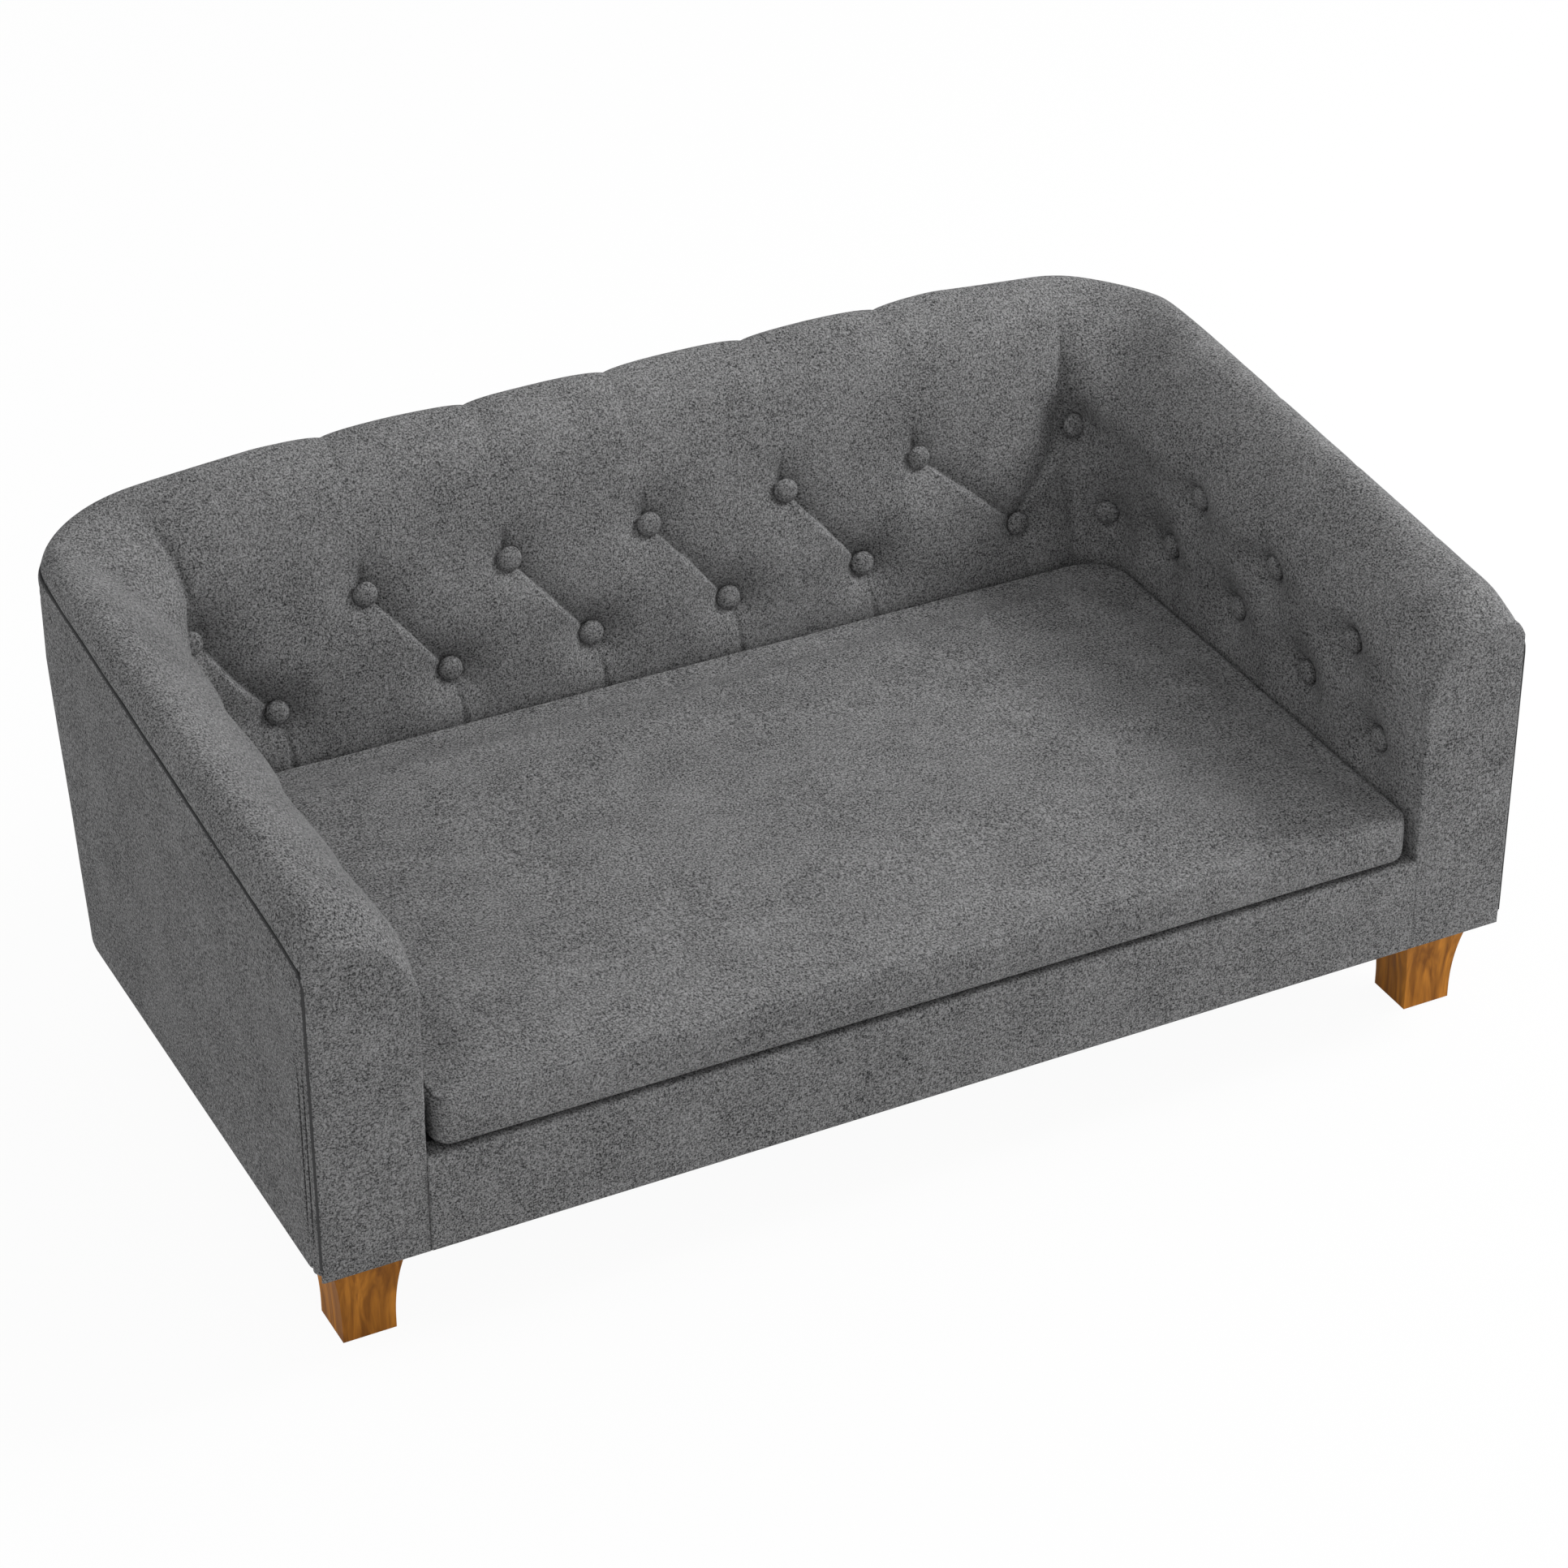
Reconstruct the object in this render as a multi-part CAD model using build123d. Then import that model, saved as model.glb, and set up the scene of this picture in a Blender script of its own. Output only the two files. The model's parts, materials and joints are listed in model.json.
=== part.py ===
from build123d import *
import os
from math import cos, radians, sin, sqrt, tan

# A dog sofa bed: a tufted, upholstered U of two arms and a leaning back on a low
# timber base, with four flared wooden legs and a loose seat cushion that lifts out.
# Millimetres, +Z up, +Y to the back, +X to the right of someone who faces the front.
# The origin lies on the floor, under the centre of the sofa's box.
# A place is measured across from the middle, a depth backwards from the front face,
# and a height upwards from the floor.

# Overall sizes
overall_width = 960.0
overall_depth = 568.0
leg_height = 80.0
arm_front_width = 81.3
corner_radius = 77.0
lean_angle = 11.6
bend_height = 300.0

# Top edges: the rim is the top seam of the outer covers, the crest the top of the pads
rim_front_height = 322.0
rim_full_depth = 40.0
rim_full_height = 335.0
rim_corner_height = 364.0
rim_shoulder_height = 382.0
rim_back_height = 390.0
crest_front_height = 340.5
crest_full_height = 347.0
crest_corner_height = 379.0
crest_shoulder_height = 395.0
crest_back_height = 404.5
back_level_setback = 110.7
pleat_sink = 2.0

# Boards and rails
board_thickness = 9.0
rail_thickness = 18.0
seat_height = 157.0
deck_cloth_thickness = 3.0
back_board_setback = 30.4
arm_pad_thickness = 19.3
board_top = 300.0
cross_rail_place = 135.0
back_post_width = 30.0
back_post_setback = 98.7
arm_post_length = 35.0
arm_batten_height = 22.0

# Outer covers and facings
cover_thickness = 4.0
facing_thickness = 10.0
skirt_drop = 3.0
front_cover_radius = 20.0
edge_softness = 2.5
dust_cover_thickness = 0.8
dust_cover_margin = 12.0
dust_cover_leg_gap = 2.0

# Arm pads
arm_fullness = 5.2
arm_pillow_reach = 6.9
facing_swell = 1.0
arm_edge_setback = 2.0
arm_crest_inset = 23.0
arm_foot_drop = 40.0
outer_roll_rise = 5.0
inner_roll_rise = 10.0
outer_roll_steps = 4
inner_roll_steps = 5
upper_pillow_steps = 4
lower_pillow_steps = 5
corner_steps = 6
swell_share = 0.1
arm_swell_share = 0.16
arm_foam_thickness = 10.0
arm_foam_front_gap = 6.0
arm_foam_roll_height = 22.0
arm_foam_roll_inset = 12.0
arm_end_setback = 138.0

# Back pad
seat_edge_setback = 118.0
back_crest_inset = 15.0
back_foot_height = 348.0
back_foot_setback = 5.0
corner_foot_height = 338.0
crease_inner_setback = 16.7
crease_rear_setback = 108.0
crease_swell = 4.0
back_foam_thickness = 6.0
back_foam_roll_height = 84.0
back_foam_roll_inset = 20.0
back_foam_end_gap = 33.7

# Tufting: valleys run from button to button, deep at a button and shallow between
button_diameter = 19.5
button_rim = 2.5
button_dome = 4.0
button_clearance = 0.3
button_sides = 12
button_ring_shares = (1.0, 0.75, 0.35)
dimple_slope_share = 0.6
dimple_reach = 22.0
arm_button_setback = 9.5
arm_crease_setback = 3.5
arm_lower_first_depth = 69.0
arm_lower_first_height = 225.0
arm_lower_last_setback = 200.0
arm_lower_last_height = 239.0
arm_lower_count = 4
arm_upper_first_depth = 113.0
arm_upper_first_height = 287.0
arm_upper_last_setback = 238.0
arm_upper_last_height = 301.0
arm_upper_count = 3
back_button_pitch = 118.0
back_outer_button_setback = 80.7
back_corner_button_setback = 24.2
back_upper_height = 305.0
back_upper_setback = 85.0
back_lower_height = 233.7
back_lower_setback = 102.4
back_crease_rise = 6.0
corner_button_setback = 8.2
corner_button_rear_setback = 123.0
corner_button_height = 236.0

# Legs and their fixings
leg_foot_side = 40.0
leg_top_side = 75.0
leg_straight = 9.0
front_leg_setback = 42.4
front_leg_depth = 47.6
rear_leg_setback = 65.0
rear_leg_rear_setback = 113.0
block_height = 30.0
front_block_width = 52.0
front_block_length = 60.0
rear_block_side = 64.0
bolt_diameter = 8.0
bolt_length = 84.0
bolt_in_leg = 46.0
thread_clearance = 0.05
nut_diameter = 19.0
nut_thickness = 3.0

# Seat cushion
rest_gap = 0.3
cushion_front = 3.0
cushion_rear_gap = 7.5
cushion_side_gap = 8.2
cushion_edge_height = 41.0
cushion_crown = 8.0
cushion_end_crown_share = 0.15
cushion_section_shares = (-1.0, -0.8, -0.45, 0.0, 0.45, 0.8, 1.0)
cushion_front_radius = 14.0
cushion_rear_radius = 36.0
cushion_fabric = 1.5

# Cushion zip, in the rear of the boxing
zip_end_setback = 80.5
zip_opening_height = 10.0
zip_tape_height = 26.0
zip_tape_margin = 8.0
zip_tape_thickness = 0.9
zip_coil_height = 5.0
zip_coil_thickness = 1.2
slider_length = 12.0
slider_height = 9.0
slider_plate = 1.0
slider_clearance = 0.3
slider_end_gap = 2.0
pull_length = 24.0
pull_height = 6.0
pull_thickness = 0.8
pull_overlap = 4.0

# One overrun serves all cuts
overrun = 60.0

# Values that follow from the sizes above
front = -overall_depth / 2
half_width = overall_width / 2
lean = tan(radians(lean_angle))
inner_face = half_width - arm_front_width
arm_face = inner_face - arm_fullness
arm_board_face = inner_face + arm_pad_thickness
board_outer = half_width - cover_thickness
board_inner = board_outer - board_thickness
front_rear = facing_thickness + board_thickness
deck_top = seat_height - deck_cloth_thickness
rail_top = deck_top - board_thickness
corner_centre = half_width - corner_radius
shell_radius = corner_radius - cover_thickness
shell_depth = overall_depth - cover_thickness
skirt_bottom = leg_height - skirt_drop
corner_depth = overall_depth - corner_radius
back_inset = cover_thickness + board_thickness
back_level_half_span = inner_face - back_level_setback
back_post_place = inner_face - back_post_setback
arm_end_depth = overall_depth - arm_end_setback
seat_edge_depth = overall_depth - seat_edge_setback
crease_inner_place = inner_face - crease_inner_setback
crease_inner_depth = overall_depth - crease_rear_setback
back_foam_half_length = inner_face - back_foam_end_gap
arm_lower_last_depth = overall_depth - arm_lower_last_setback
arm_upper_last_depth = overall_depth - arm_upper_last_setback
back_outer_button_place = inner_face - back_outer_button_setback
back_corner_button_place = inner_face - back_corner_button_setback
back_upper_depth = overall_depth - back_upper_setback
back_lower_depth = overall_depth - back_lower_setback
corner_button_place = inner_face - corner_button_setback
corner_button_depth = overall_depth - corner_button_rear_setback
front_leg_place = half_width - front_leg_setback
rear_leg_place = half_width - rear_leg_setback
rear_leg_depth = overall_depth - rear_leg_rear_setback
cushion_rear = seat_edge_depth - cushion_rear_gap
cushion_half_width = inner_face - cushion_side_gap
zip_half_length = cushion_half_width - zip_end_setback

parts = {}


def between(value, low, high, at_low, at_high):
    """The straight-line value between two places, held level beyond both."""
    share = min(max((value - low) / (high - low), 0), 1)
    return at_low + share * (at_high - at_low)


def rear_face(height):
    """Depth of the sofa's rear face, which leans up to the bend."""
    return overall_depth - lean * (bend_height - min(height, bend_height))


def back_board_face(height):
    """Depth of the front of the leaning inner back board."""
    return seat_edge_depth - lean * (seat_height - height) + board_clear()


def board_clear():
    """Room between the pad's seat edge and the inner back board."""
    return rear_face(seat_height) - seat_edge_depth - back_inset - back_board_setback


def corner_start(height):
    """Depth at which the rounded rear corner begins."""
    return rear_face(height) - corner_radius


def arm_rim(depth):
    if depth < rim_full_depth:
        return between(depth, facing_thickness, rim_full_depth, rim_front_height, rim_full_height)
    return between(depth, rim_full_depth, corner_depth, rim_full_height, rim_corner_height)


def arm_crest(depth):
    if depth < rim_full_depth:
        return between(depth, facing_thickness, rim_full_depth, crest_front_height, crest_full_height)
    return between(depth, rim_full_depth, corner_depth, crest_full_height, crest_corner_height)


def back_rim(place):
    return between(abs(place), back_level_half_span, corner_centre, rim_back_height, rim_shoulder_height)


def back_crest(place):
    return between(abs(place), back_level_half_span, corner_centre, crest_back_height, crest_shoulder_height)


def at(place, depth, height):
    """A point given by its place, depth and height."""
    return Vector(place, front + depth, height)


def block(x0, x1, d0, d1, z0, z1):
    """An upright block between two places, two depths and two heights."""
    return Pos(x0, front + d0, z0) * Box(x1 - x0, d1 - d0, z1 - z0, align=(Align.MIN, Align.MIN, Align.MIN))


def side_profile(x0, x1, corners):
    """A solid between two places whose outline is given in depth and height."""
    outline = Polyline(*[at(x0, depth, height) for depth, height in corners], close=True)
    return extrude(make_face(outline), amount=x1 - x0, dir=(1, 0, 0))


def front_profile(d0, d1, corners):
    """A solid between two depths whose outline is given in place and height."""
    outline = Polyline(*[at(place, d0, height) for place, height in corners], close=True)
    return extrude(make_face(outline), amount=d1 - d0, dir=(0, 1, 0))


def pair(name, solid):
    """Adds a piece on the right and its mirror image on the left."""
    parts["right_" + name] = solid
    parts["left_" + name] = mirror(solid, about=Plane.YZ)


# Timber base
rail_rear = facing_thickness + rail_thickness
outer_board_depth = rear_face(leg_height) - back_inset
deck_rear = rear_face(rail_top) - back_inset


def rear_rail_face(height):
    """Depth of the front of the leaning rear rail."""
    return rear_face(height) - back_inset - rail_thickness


def make_base():
    parts["front_rail"] = block(-arm_board_face, arm_board_face, facing_thickness, rail_rear,
                                leg_height, rail_top)
    parts["rear_rail"] = side_profile(-corner_centre, corner_centre, [
        (rear_rail_face(leg_height), leg_height), (outer_board_depth, leg_height),
        (deck_rear, rail_top), (rear_rail_face(rail_top), rail_top)])

    pair("side_rail", block(board_inner - rail_thickness, board_inner, front_rear, corner_start(leg_height),
                            leg_height, rail_top))

    half_rail = rail_thickness / 2
    for name, place in (("right_cross_rail", cross_rail_place), ("left_cross_rail", -cross_rail_place)):
        parts[name] = side_profile(place - half_rail, place + half_rail, [
            (rail_rear, leg_height), (rear_rail_face(leg_height), leg_height),
            (rear_rail_face(rail_top), rail_top), (rail_rear, rail_top)])

    deck = block(-board_inner, board_inner, front_rear, deck_rear, rail_top, deck_top)
    rear_corners = deck.edges().filter_by(Axis.Z).group_by(Axis.Y)[-1]
    parts["seat_deck"] = fillet(rear_corners, shell_radius - board_thickness)
    parts["deck_cloth"] = side_profile(-arm_board_face, arm_board_face, [
        (front_rear, deck_top), (back_board_face(deck_top), deck_top),
        (back_board_face(seat_height), seat_height), (front_rear, seat_height)])


# Arm boxes and the back frame
def corner_ring(outer_radius, inner_radius, z0, z1):
    """A quarter ring round the right rear corner, leaning with the back."""
    plane = Plane(origin=at(corner_centre, corner_start(z0), z0))
    outer = CenterArc((0, 0), outer_radius, 0, 90)
    inner = CenterArc((0, 0), inner_radius, 0, 90)
    ring = plane * make_face([outer, inner, Line(outer @ 0, inner @ 0), Line(outer @ 1, inner @ 1)])
    way = Vector(0, corner_start(z1) - corner_start(z0), z1 - z0)
    return extrude(ring, amount=way.length, dir=way)


def leaning_board(x0, x1, face, thickness, z0, z1):
    """A board whose front follows a leaning face."""
    return side_profile(x0, x1, [
        (face(z0), z0), (face(z0) + thickness, z0), (face(z1) + thickness, z1), (face(z1), z1)])


def outer_board_face(height):
    return rear_face(height) - back_inset


def make_arm_boxes():
    hollow_inner = arm_board_face + board_thickness
    post_rear = corner_start(deck_top)
    post_front = post_rear - arm_post_length
    post_end = front_rear + arm_post_length
    pair("arm_front_board", block(arm_board_face, board_outer, facing_thickness, front_rear,
                                  leg_height, board_top))
    pair("arm_outer_board", side_profile(board_inner, board_outer, [
        (front_rear, leg_height), (corner_start(leg_height), leg_height),
        (corner_start(board_top), board_top), (front_rear, board_top)]))
    pair("arm_inner_board", side_profile(arm_board_face, hollow_inner, [
        (front_rear, deck_top), (back_board_face(deck_top) + board_thickness, deck_top),
        (back_board_face(board_top) + board_thickness, board_top), (front_rear, board_top)]))
    pair("arm_front_post", block(hollow_inner, board_inner, front_rear, post_end, deck_top, board_top))
    pair("arm_rear_post", block(hollow_inner, board_inner, post_front, post_rear, deck_top, board_top))
    pair("arm_top_batten", block(hollow_inner, board_inner, post_end, post_front,
                                 board_top - arm_batten_height, board_top))
    pair("corner_panel", corner_ring(shell_radius, shell_radius - board_thickness, leg_height, bend_height))


def make_back_frame():
    top_rail_bottom = board_top - rail_thickness

    def inner_board_rear(height):
        return back_board_face(height) + board_thickness

    parts["back_inner_board"] = leaning_board(-arm_board_face, arm_board_face, back_board_face,
                                              board_thickness, deck_top, board_top)
    parts["back_outer_board"] = leaning_board(-corner_centre, corner_centre, outer_board_face,
                                              board_thickness, leg_height, board_top)
    room = outer_board_face(deck_top) - inner_board_rear(deck_top)
    posts = [
        leaning_board(place - back_post_width / 2, place + back_post_width / 2, inner_board_rear,
                      room, deck_top, top_rail_bottom)
        for place in (-back_post_place, 0, back_post_place)
    ]
    parts["back_posts"] = Compound(children=posts)
    parts["back_top_rail"] = leaning_board(-corner_centre, corner_centre, inner_board_rear,
                                           room, top_rail_bottom, board_top)


# Sections of the pads
def roll_middle(start, end, rise):
    """The middle of an arc that rises outward from the chord between two points."""
    chord = end - start
    flat = Vector(chord.X, chord.Y, 0)
    normal = flat.normalized() * -chord.Z + Vector(0, 0, flat.length)
    return (start + end) * 0.5 + normal.normalized() * rise


def arc_points(start, middle, end, steps):
    """Points along an arc, without its end."""
    arc = ThreePointArc(start, middle, end)
    return [arc @ (i / steps) for i in range(steps)]


def pad_row(base, rim, roll, face, way, swells):
    """Points round a pad's section: its boards, the arcs of the roll and of the two pillows."""
    rim_in, rim_out = rim
    crest, foot = roll
    valley, edge = face
    upper_middle = (foot + valley) * 0.5 + way * swells[0]
    lower_middle = (valley + edge) * 0.5 + way * swells[1]
    row = list(base) + [rim_in]
    row += arc_points(rim_out, roll_middle(rim_out, crest, outer_roll_rise), crest, outer_roll_steps)
    row += arc_points(crest, roll_middle(crest, foot, inner_roll_rise), foot, inner_roll_steps)
    row += arc_points(foot, upper_middle, valley, upper_pillow_steps)
    row += arc_points(valley, lower_middle, edge, lower_pillow_steps)
    return row + [edge]


def net_solid(rows):
    """A closed solid through rows of matching points, faced with flat triangles."""
    ends = [rows[0], rows[-1]]
    faces = [Face(Wire.make_polygon(row)) for row in ends]
    for row, following in zip(rows, rows[1:]):
        for i in range(len(row)):
            near, far = (row[i - 1], row[i]), (following[i - 1], following[i])
            faces.append(Face(Wire.make_polygon([near[0], near[1], far[1]])))
            faces.append(Face(Wire.make_polygon([near[0], far[1], far[0]])))
    return Solid(Shell(faces))


def arm_section(depth, valley_height, setback, face_place, pillow_place):
    """An arm pad's section; its pillows swell out to the pillow place at most."""
    crest = at(half_width - arm_crest_inset, depth, arm_crest(depth))
    foot = at(face_place, depth, arm_crest(depth) - arm_foot_drop)
    valley = at(face_place + setback, depth, valley_height)
    edge = at(face_place + arm_edge_setback, depth, seat_height)
    swells = [
        min((upper - lower).length * arm_swell_share, (upper.X + lower.X) / 2 - pillow_place)
        for upper, lower in ((foot, valley), (valley, edge))
    ]
    base = (at(arm_board_face, depth, seat_height), at(arm_board_face, depth, board_top),
            at(board_outer, depth, board_top))
    rim = (at(board_outer, depth, arm_rim(depth)), at(half_width, depth, arm_rim(depth)))
    return pad_row(base, rim, (crest, foot), (valley, edge), Vector(-1, 0, 0), swells)


def crease_place(depth):
    """Place of the upright plane in which an arm pad and the back pad meet."""
    share = (depth - crease_inner_depth) / (overall_depth - crease_inner_depth)
    return crease_inner_place + share * (corner_centre - crease_inner_place)


def corner_section(side, turn):
    """The section a share of the way round a rear corner, 0 at its arm and 1 at the crease."""
    along = (1 + corner_steps * turn) / (1 + corner_steps)
    angle = radians(90 * turn)

    def on_ring(radius, height):
        return at(side * (corner_centre + radius * cos(angle)), corner_depth + radius * sin(angle), height)

    def on_shell(height):
        if turn < 1:
            return on_ring(shell_radius, height)
        return at(side * crease_place(shell_depth), shell_depth, height)

    def on_face(height):
        crease_depth = seat_edge_depth + lean * (height - seat_height)
        depth = arm_end_depth + along * (crease_depth - arm_end_depth)
        place = arm_face + along * (crease_place(crease_depth) - arm_face)
        return at(side * place, depth, height)

    def on_boards(height):
        depth = arm_end_depth + min(2 * along, 1) * (back_board_face(height) - arm_end_depth)
        past = max(2 * along - 1, 0)
        place = arm_board_face + past * (crease_place(back_board_face(height)) - arm_board_face)
        return at(side * place, depth, height)

    rim_height = between(turn, 0, 1, rim_corner_height, rim_shoulder_height)
    crest_height = between(turn, 0, 1, crest_corner_height, crest_shoulder_height)
    crest_inset = between(turn, 0, 1, arm_crest_inset, back_crest_inset)
    foot_height = between(turn, 0, 1, arm_crest(arm_end_depth) - arm_foot_drop, corner_foot_height)
    valley_height = between(turn, 0, 1, arm_lower_last_height, corner_button_height)
    rim_out = on_ring(corner_radius, rim_height)
    inward = on_face(foot_height) - rim_out
    way = Vector(inward.X, inward.Y, 0).normalized()
    foot = on_face(foot_height) - way * back_foot_setback * turn
    crest = on_ring(corner_radius, crest_height) + way * crest_inset
    base = (on_boards(seat_height), on_boards(board_top), on_shell(board_top))
    rim = (on_shell(rim_height), rim_out)
    return pad_row(base, rim, (crest, foot), (on_face(valley_height), on_face(seat_height)), way,
                    (crease_swell, crease_swell))


def back_section(place, valley_depth, valley_height, sink):
    """The back pad's section at a place across, its crest sunk where a pleat crosses it."""
    crest = at(place, overall_depth - back_crest_inset, back_crest(place) - sink)
    foot_height = back_foot_height - crest_back_height + back_crest(place)
    foot = at(place, seat_edge_depth + lean * (foot_height - seat_height) + back_foot_setback, foot_height)
    valley = at(place, valley_depth, valley_height)
    edge = at(place, seat_edge_depth, seat_height)
    swells = [(upper - lower).length * swell_share for upper, lower in ((foot, valley), (valley, edge))]
    base = (at(place, back_board_face(seat_height), seat_height),
            at(place, back_board_face(board_top), board_top), at(place, shell_depth, board_top))
    rim = (at(place, shell_depth, back_rim(place)), at(place, overall_depth, back_rim(place)))
    return pad_row(base, rim, (crest, foot), (valley, edge), Vector(0, -1, lean).normalized(), swells)


# Button rows, and the stations of the sections that pass through them
def spaced(first, last, count):
    """Evenly spaced values from the first to the last."""
    return [first + (last - first) * i / (count - 1) for i in range(count)]


def arm_row(first_depth, last_depth, first_height, last_height, count):
    """The depths and heights of one row of arm buttons."""
    return list(zip(spaced(first_depth, last_depth, count), spaced(first_height, last_height, count)))


arm_lower_row = arm_row(arm_lower_first_depth, arm_lower_last_depth, arm_lower_first_height,
                        arm_lower_last_height, arm_lower_count)
arm_upper_row = arm_row(arm_upper_first_depth, arm_upper_last_depth, arm_upper_first_height,
                        arm_upper_last_height, arm_upper_count)
half_pitch = back_button_pitch / 2
back_upper_places = [0, back_button_pitch, 2 * back_button_pitch, back_corner_button_place]
back_lower_places = [half_pitch, 3 * half_pitch, back_outer_button_place]


def arm_stations():
    """Depth, valley height and setback at each section along an arm, after its front."""
    tufts = sorted(arm_lower_row + arm_upper_row)
    stations = [(rim_full_depth, arm_lower_first_height, arm_crease_setback)]
    for (depth, height), (next_depth, next_height) in zip(tufts, tufts[1:]):
        stations.append((depth, height, arm_button_setback))
        stations.append(((depth + next_depth) / 2, (height + next_height) / 2, arm_crease_setback))
    stations.append((*tufts[-1], arm_button_setback))
    stations.append(((tufts[-1][0] + arm_end_depth) / 2, arm_lower_last_height, arm_crease_setback))
    stations.append((arm_end_depth, arm_lower_last_height, arm_crease_setback))
    return stations


def back_stations():
    """Place, valley depth, valley height and crest sink for half the back."""
    tufts = [(place, back_upper_depth, back_upper_height, pleat_sink) for place in back_upper_places]
    tufts += [(place, back_lower_depth, back_lower_height, 0) for place in back_lower_places]
    tufts.sort()
    stations = []
    for tuft, following in zip(tufts, tufts[1:]):
        place, depth, height, sink = [(a + b) / 2 for a, b in zip(tuft, following)]
        stations += [tuft, (place, depth - back_crease_rise, height, 0)]
    return stations + [tufts[-1]]


def arm_pad():
    sections = [arm_section(facing_thickness, arm_lower_first_height, 0, inner_face - facing_swell,
                            inner_face - 2 * facing_swell)]
    sections += [
        arm_section(depth, height, setback, arm_face, inner_face - arm_pillow_reach)
        for depth, height, setback in arm_stations()
    ]
    sections += [corner_section(1, i / corner_steps) for i in range(corner_steps + 1)]
    return net_solid(sections)


def back_pad():
    stations = back_stations()
    both = [(-place, *rest) for place, *rest in stations[:0:-1]] + stations
    sections = [back_section(*station) for station in both]
    return net_solid([corner_section(-1, 1)] + sections + [corner_section(1, 1)])


# Covered buttons and the dimples that they sit in
def ringed(levels):
    """A many-sided solid through level rings given by radius and height."""
    turns = [radians(360 * i / button_sides) for i in range(button_sides)]
    return net_solid([
        [Vector(radius * cos(turn), radius * sin(turn), height) for turn in turns]
        for radius, height in levels
    ])


def covered_button():
    """A button with a short rim and a domed top, its base on the origin."""
    radius = button_diameter / 2
    levels = [(radius, 0)]
    for share in button_ring_shares:
        levels.append((radius * share, button_rim + button_dome * (1 - share * share)))
    return ringed(levels)


def dimple():
    """A conical pocket that opens from a button's base."""
    base = button_diameter / 2 + button_clearance
    return ringed([(base, 0), (base + dimple_slope_share * dimple_reach, dimple_reach)])


def facing_way(base, way):
    return Plane(origin=base, z_dir=way)


back_way = Vector(0, -1, lean).normalized()
corner_way = Vector(-1, -1, 0).normalized()
arm_seats = [
    facing_way(at(arm_face + arm_button_setback, depth, height), Vector(-1, 0, 0))
    for depth, height in arm_lower_row + arm_upper_row
]
corner_seat = facing_way(at(corner_button_place, corner_button_depth, corner_button_height), corner_way)


def back_row(places, depth, height):
    """The seats of one row of back buttons on both sides of the middle."""
    signed = sorted({side * place for place in places for side in (-1, 1)})
    return [facing_way(at(place, depth, height), back_way) for place in signed]


upper_seats = back_row(back_upper_places, back_upper_depth, back_upper_height)
lower_seats = back_row(back_lower_places, back_lower_depth, back_lower_height)


def make_pads():
    arm = arm_pad() - [seat * dimple() for seat in arm_seats + [corner_seat]]
    slab_face = arm_board_face - arm_foam_thickness
    roll_top = board_top + arm_foam_roll_height
    arm_foam = front_profile(facing_thickness + arm_foam_front_gap, arm_end_depth, [
        (slab_face, seat_height), (arm_board_face, seat_height), (arm_board_face, board_top),
        (board_outer, board_top), (board_outer - arm_foam_roll_inset, roll_top),
        (arm_board_face + arm_foam_roll_inset, roll_top), (slab_face, board_top)])
    pair("arm_foam", arm_foam)
    pair("arm_cover", arm - arm_foam)

    def slab_depth(height):
        return back_board_face(height) - back_foam_thickness

    back_top = board_top + back_foam_roll_height
    back_foam = side_profile(-back_foam_half_length, back_foam_half_length, [
        (slab_depth(seat_height), seat_height), (back_board_face(seat_height), seat_height),
        (back_board_face(board_top), board_top), (shell_depth - back_foam_thickness, board_top),
        (shell_depth - back_foam_thickness, back_top - back_foam_roll_inset),
        (shell_depth - back_foam_roll_inset, back_top),
        (shell_depth - 2 * back_foam_roll_inset, back_top),
        (slab_depth(board_top) + back_foam_thickness, board_top + back_foam_roll_inset),
        (slab_depth(board_top), board_top)])
    back = back_pad() - [seat * dimple() for seat in upper_seats + lower_seats]
    parts["back_foam"] = back_foam
    parts["back_cover"] = back - back_foam


def make_buttons():
    arm_buttons = [seat * covered_button() for seat in arm_seats + [corner_seat]]
    pair("arm_buttons", Compound(children=arm_buttons))
    parts["back_upper_buttons"] = Compound(children=[seat * covered_button() for seat in upper_seats])
    parts["back_lower_buttons"] = Compound(children=[seat * covered_button() for seat in lower_seats])


# Outer covers, facings and the cloths of the base
def rim_cutter():
    """All that lies above the rim round the right rear corner."""
    sections = []
    for i in range(corner_steps + 1):
        turn = i / corner_steps
        way = Vector(cos(radians(90 * turn)), sin(radians(90 * turn)), 0)
        centre = at(corner_centre, corner_depth, between(turn, 0, 1, rim_corner_height, rim_shoulder_height))
        near, far = centre + way * (shell_radius - overrun), centre + way * (corner_radius + overrun)
        lift = Vector(0, 0, rim_back_height - rim_corner_height + overrun)
        sections.append(Wire([Line(near, far), Line(far, far + lift), Line(far + lift, near + lift),
                              Line(near + lift, near)]))
    return Solid.make_loft(sections, ruled=True)


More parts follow.
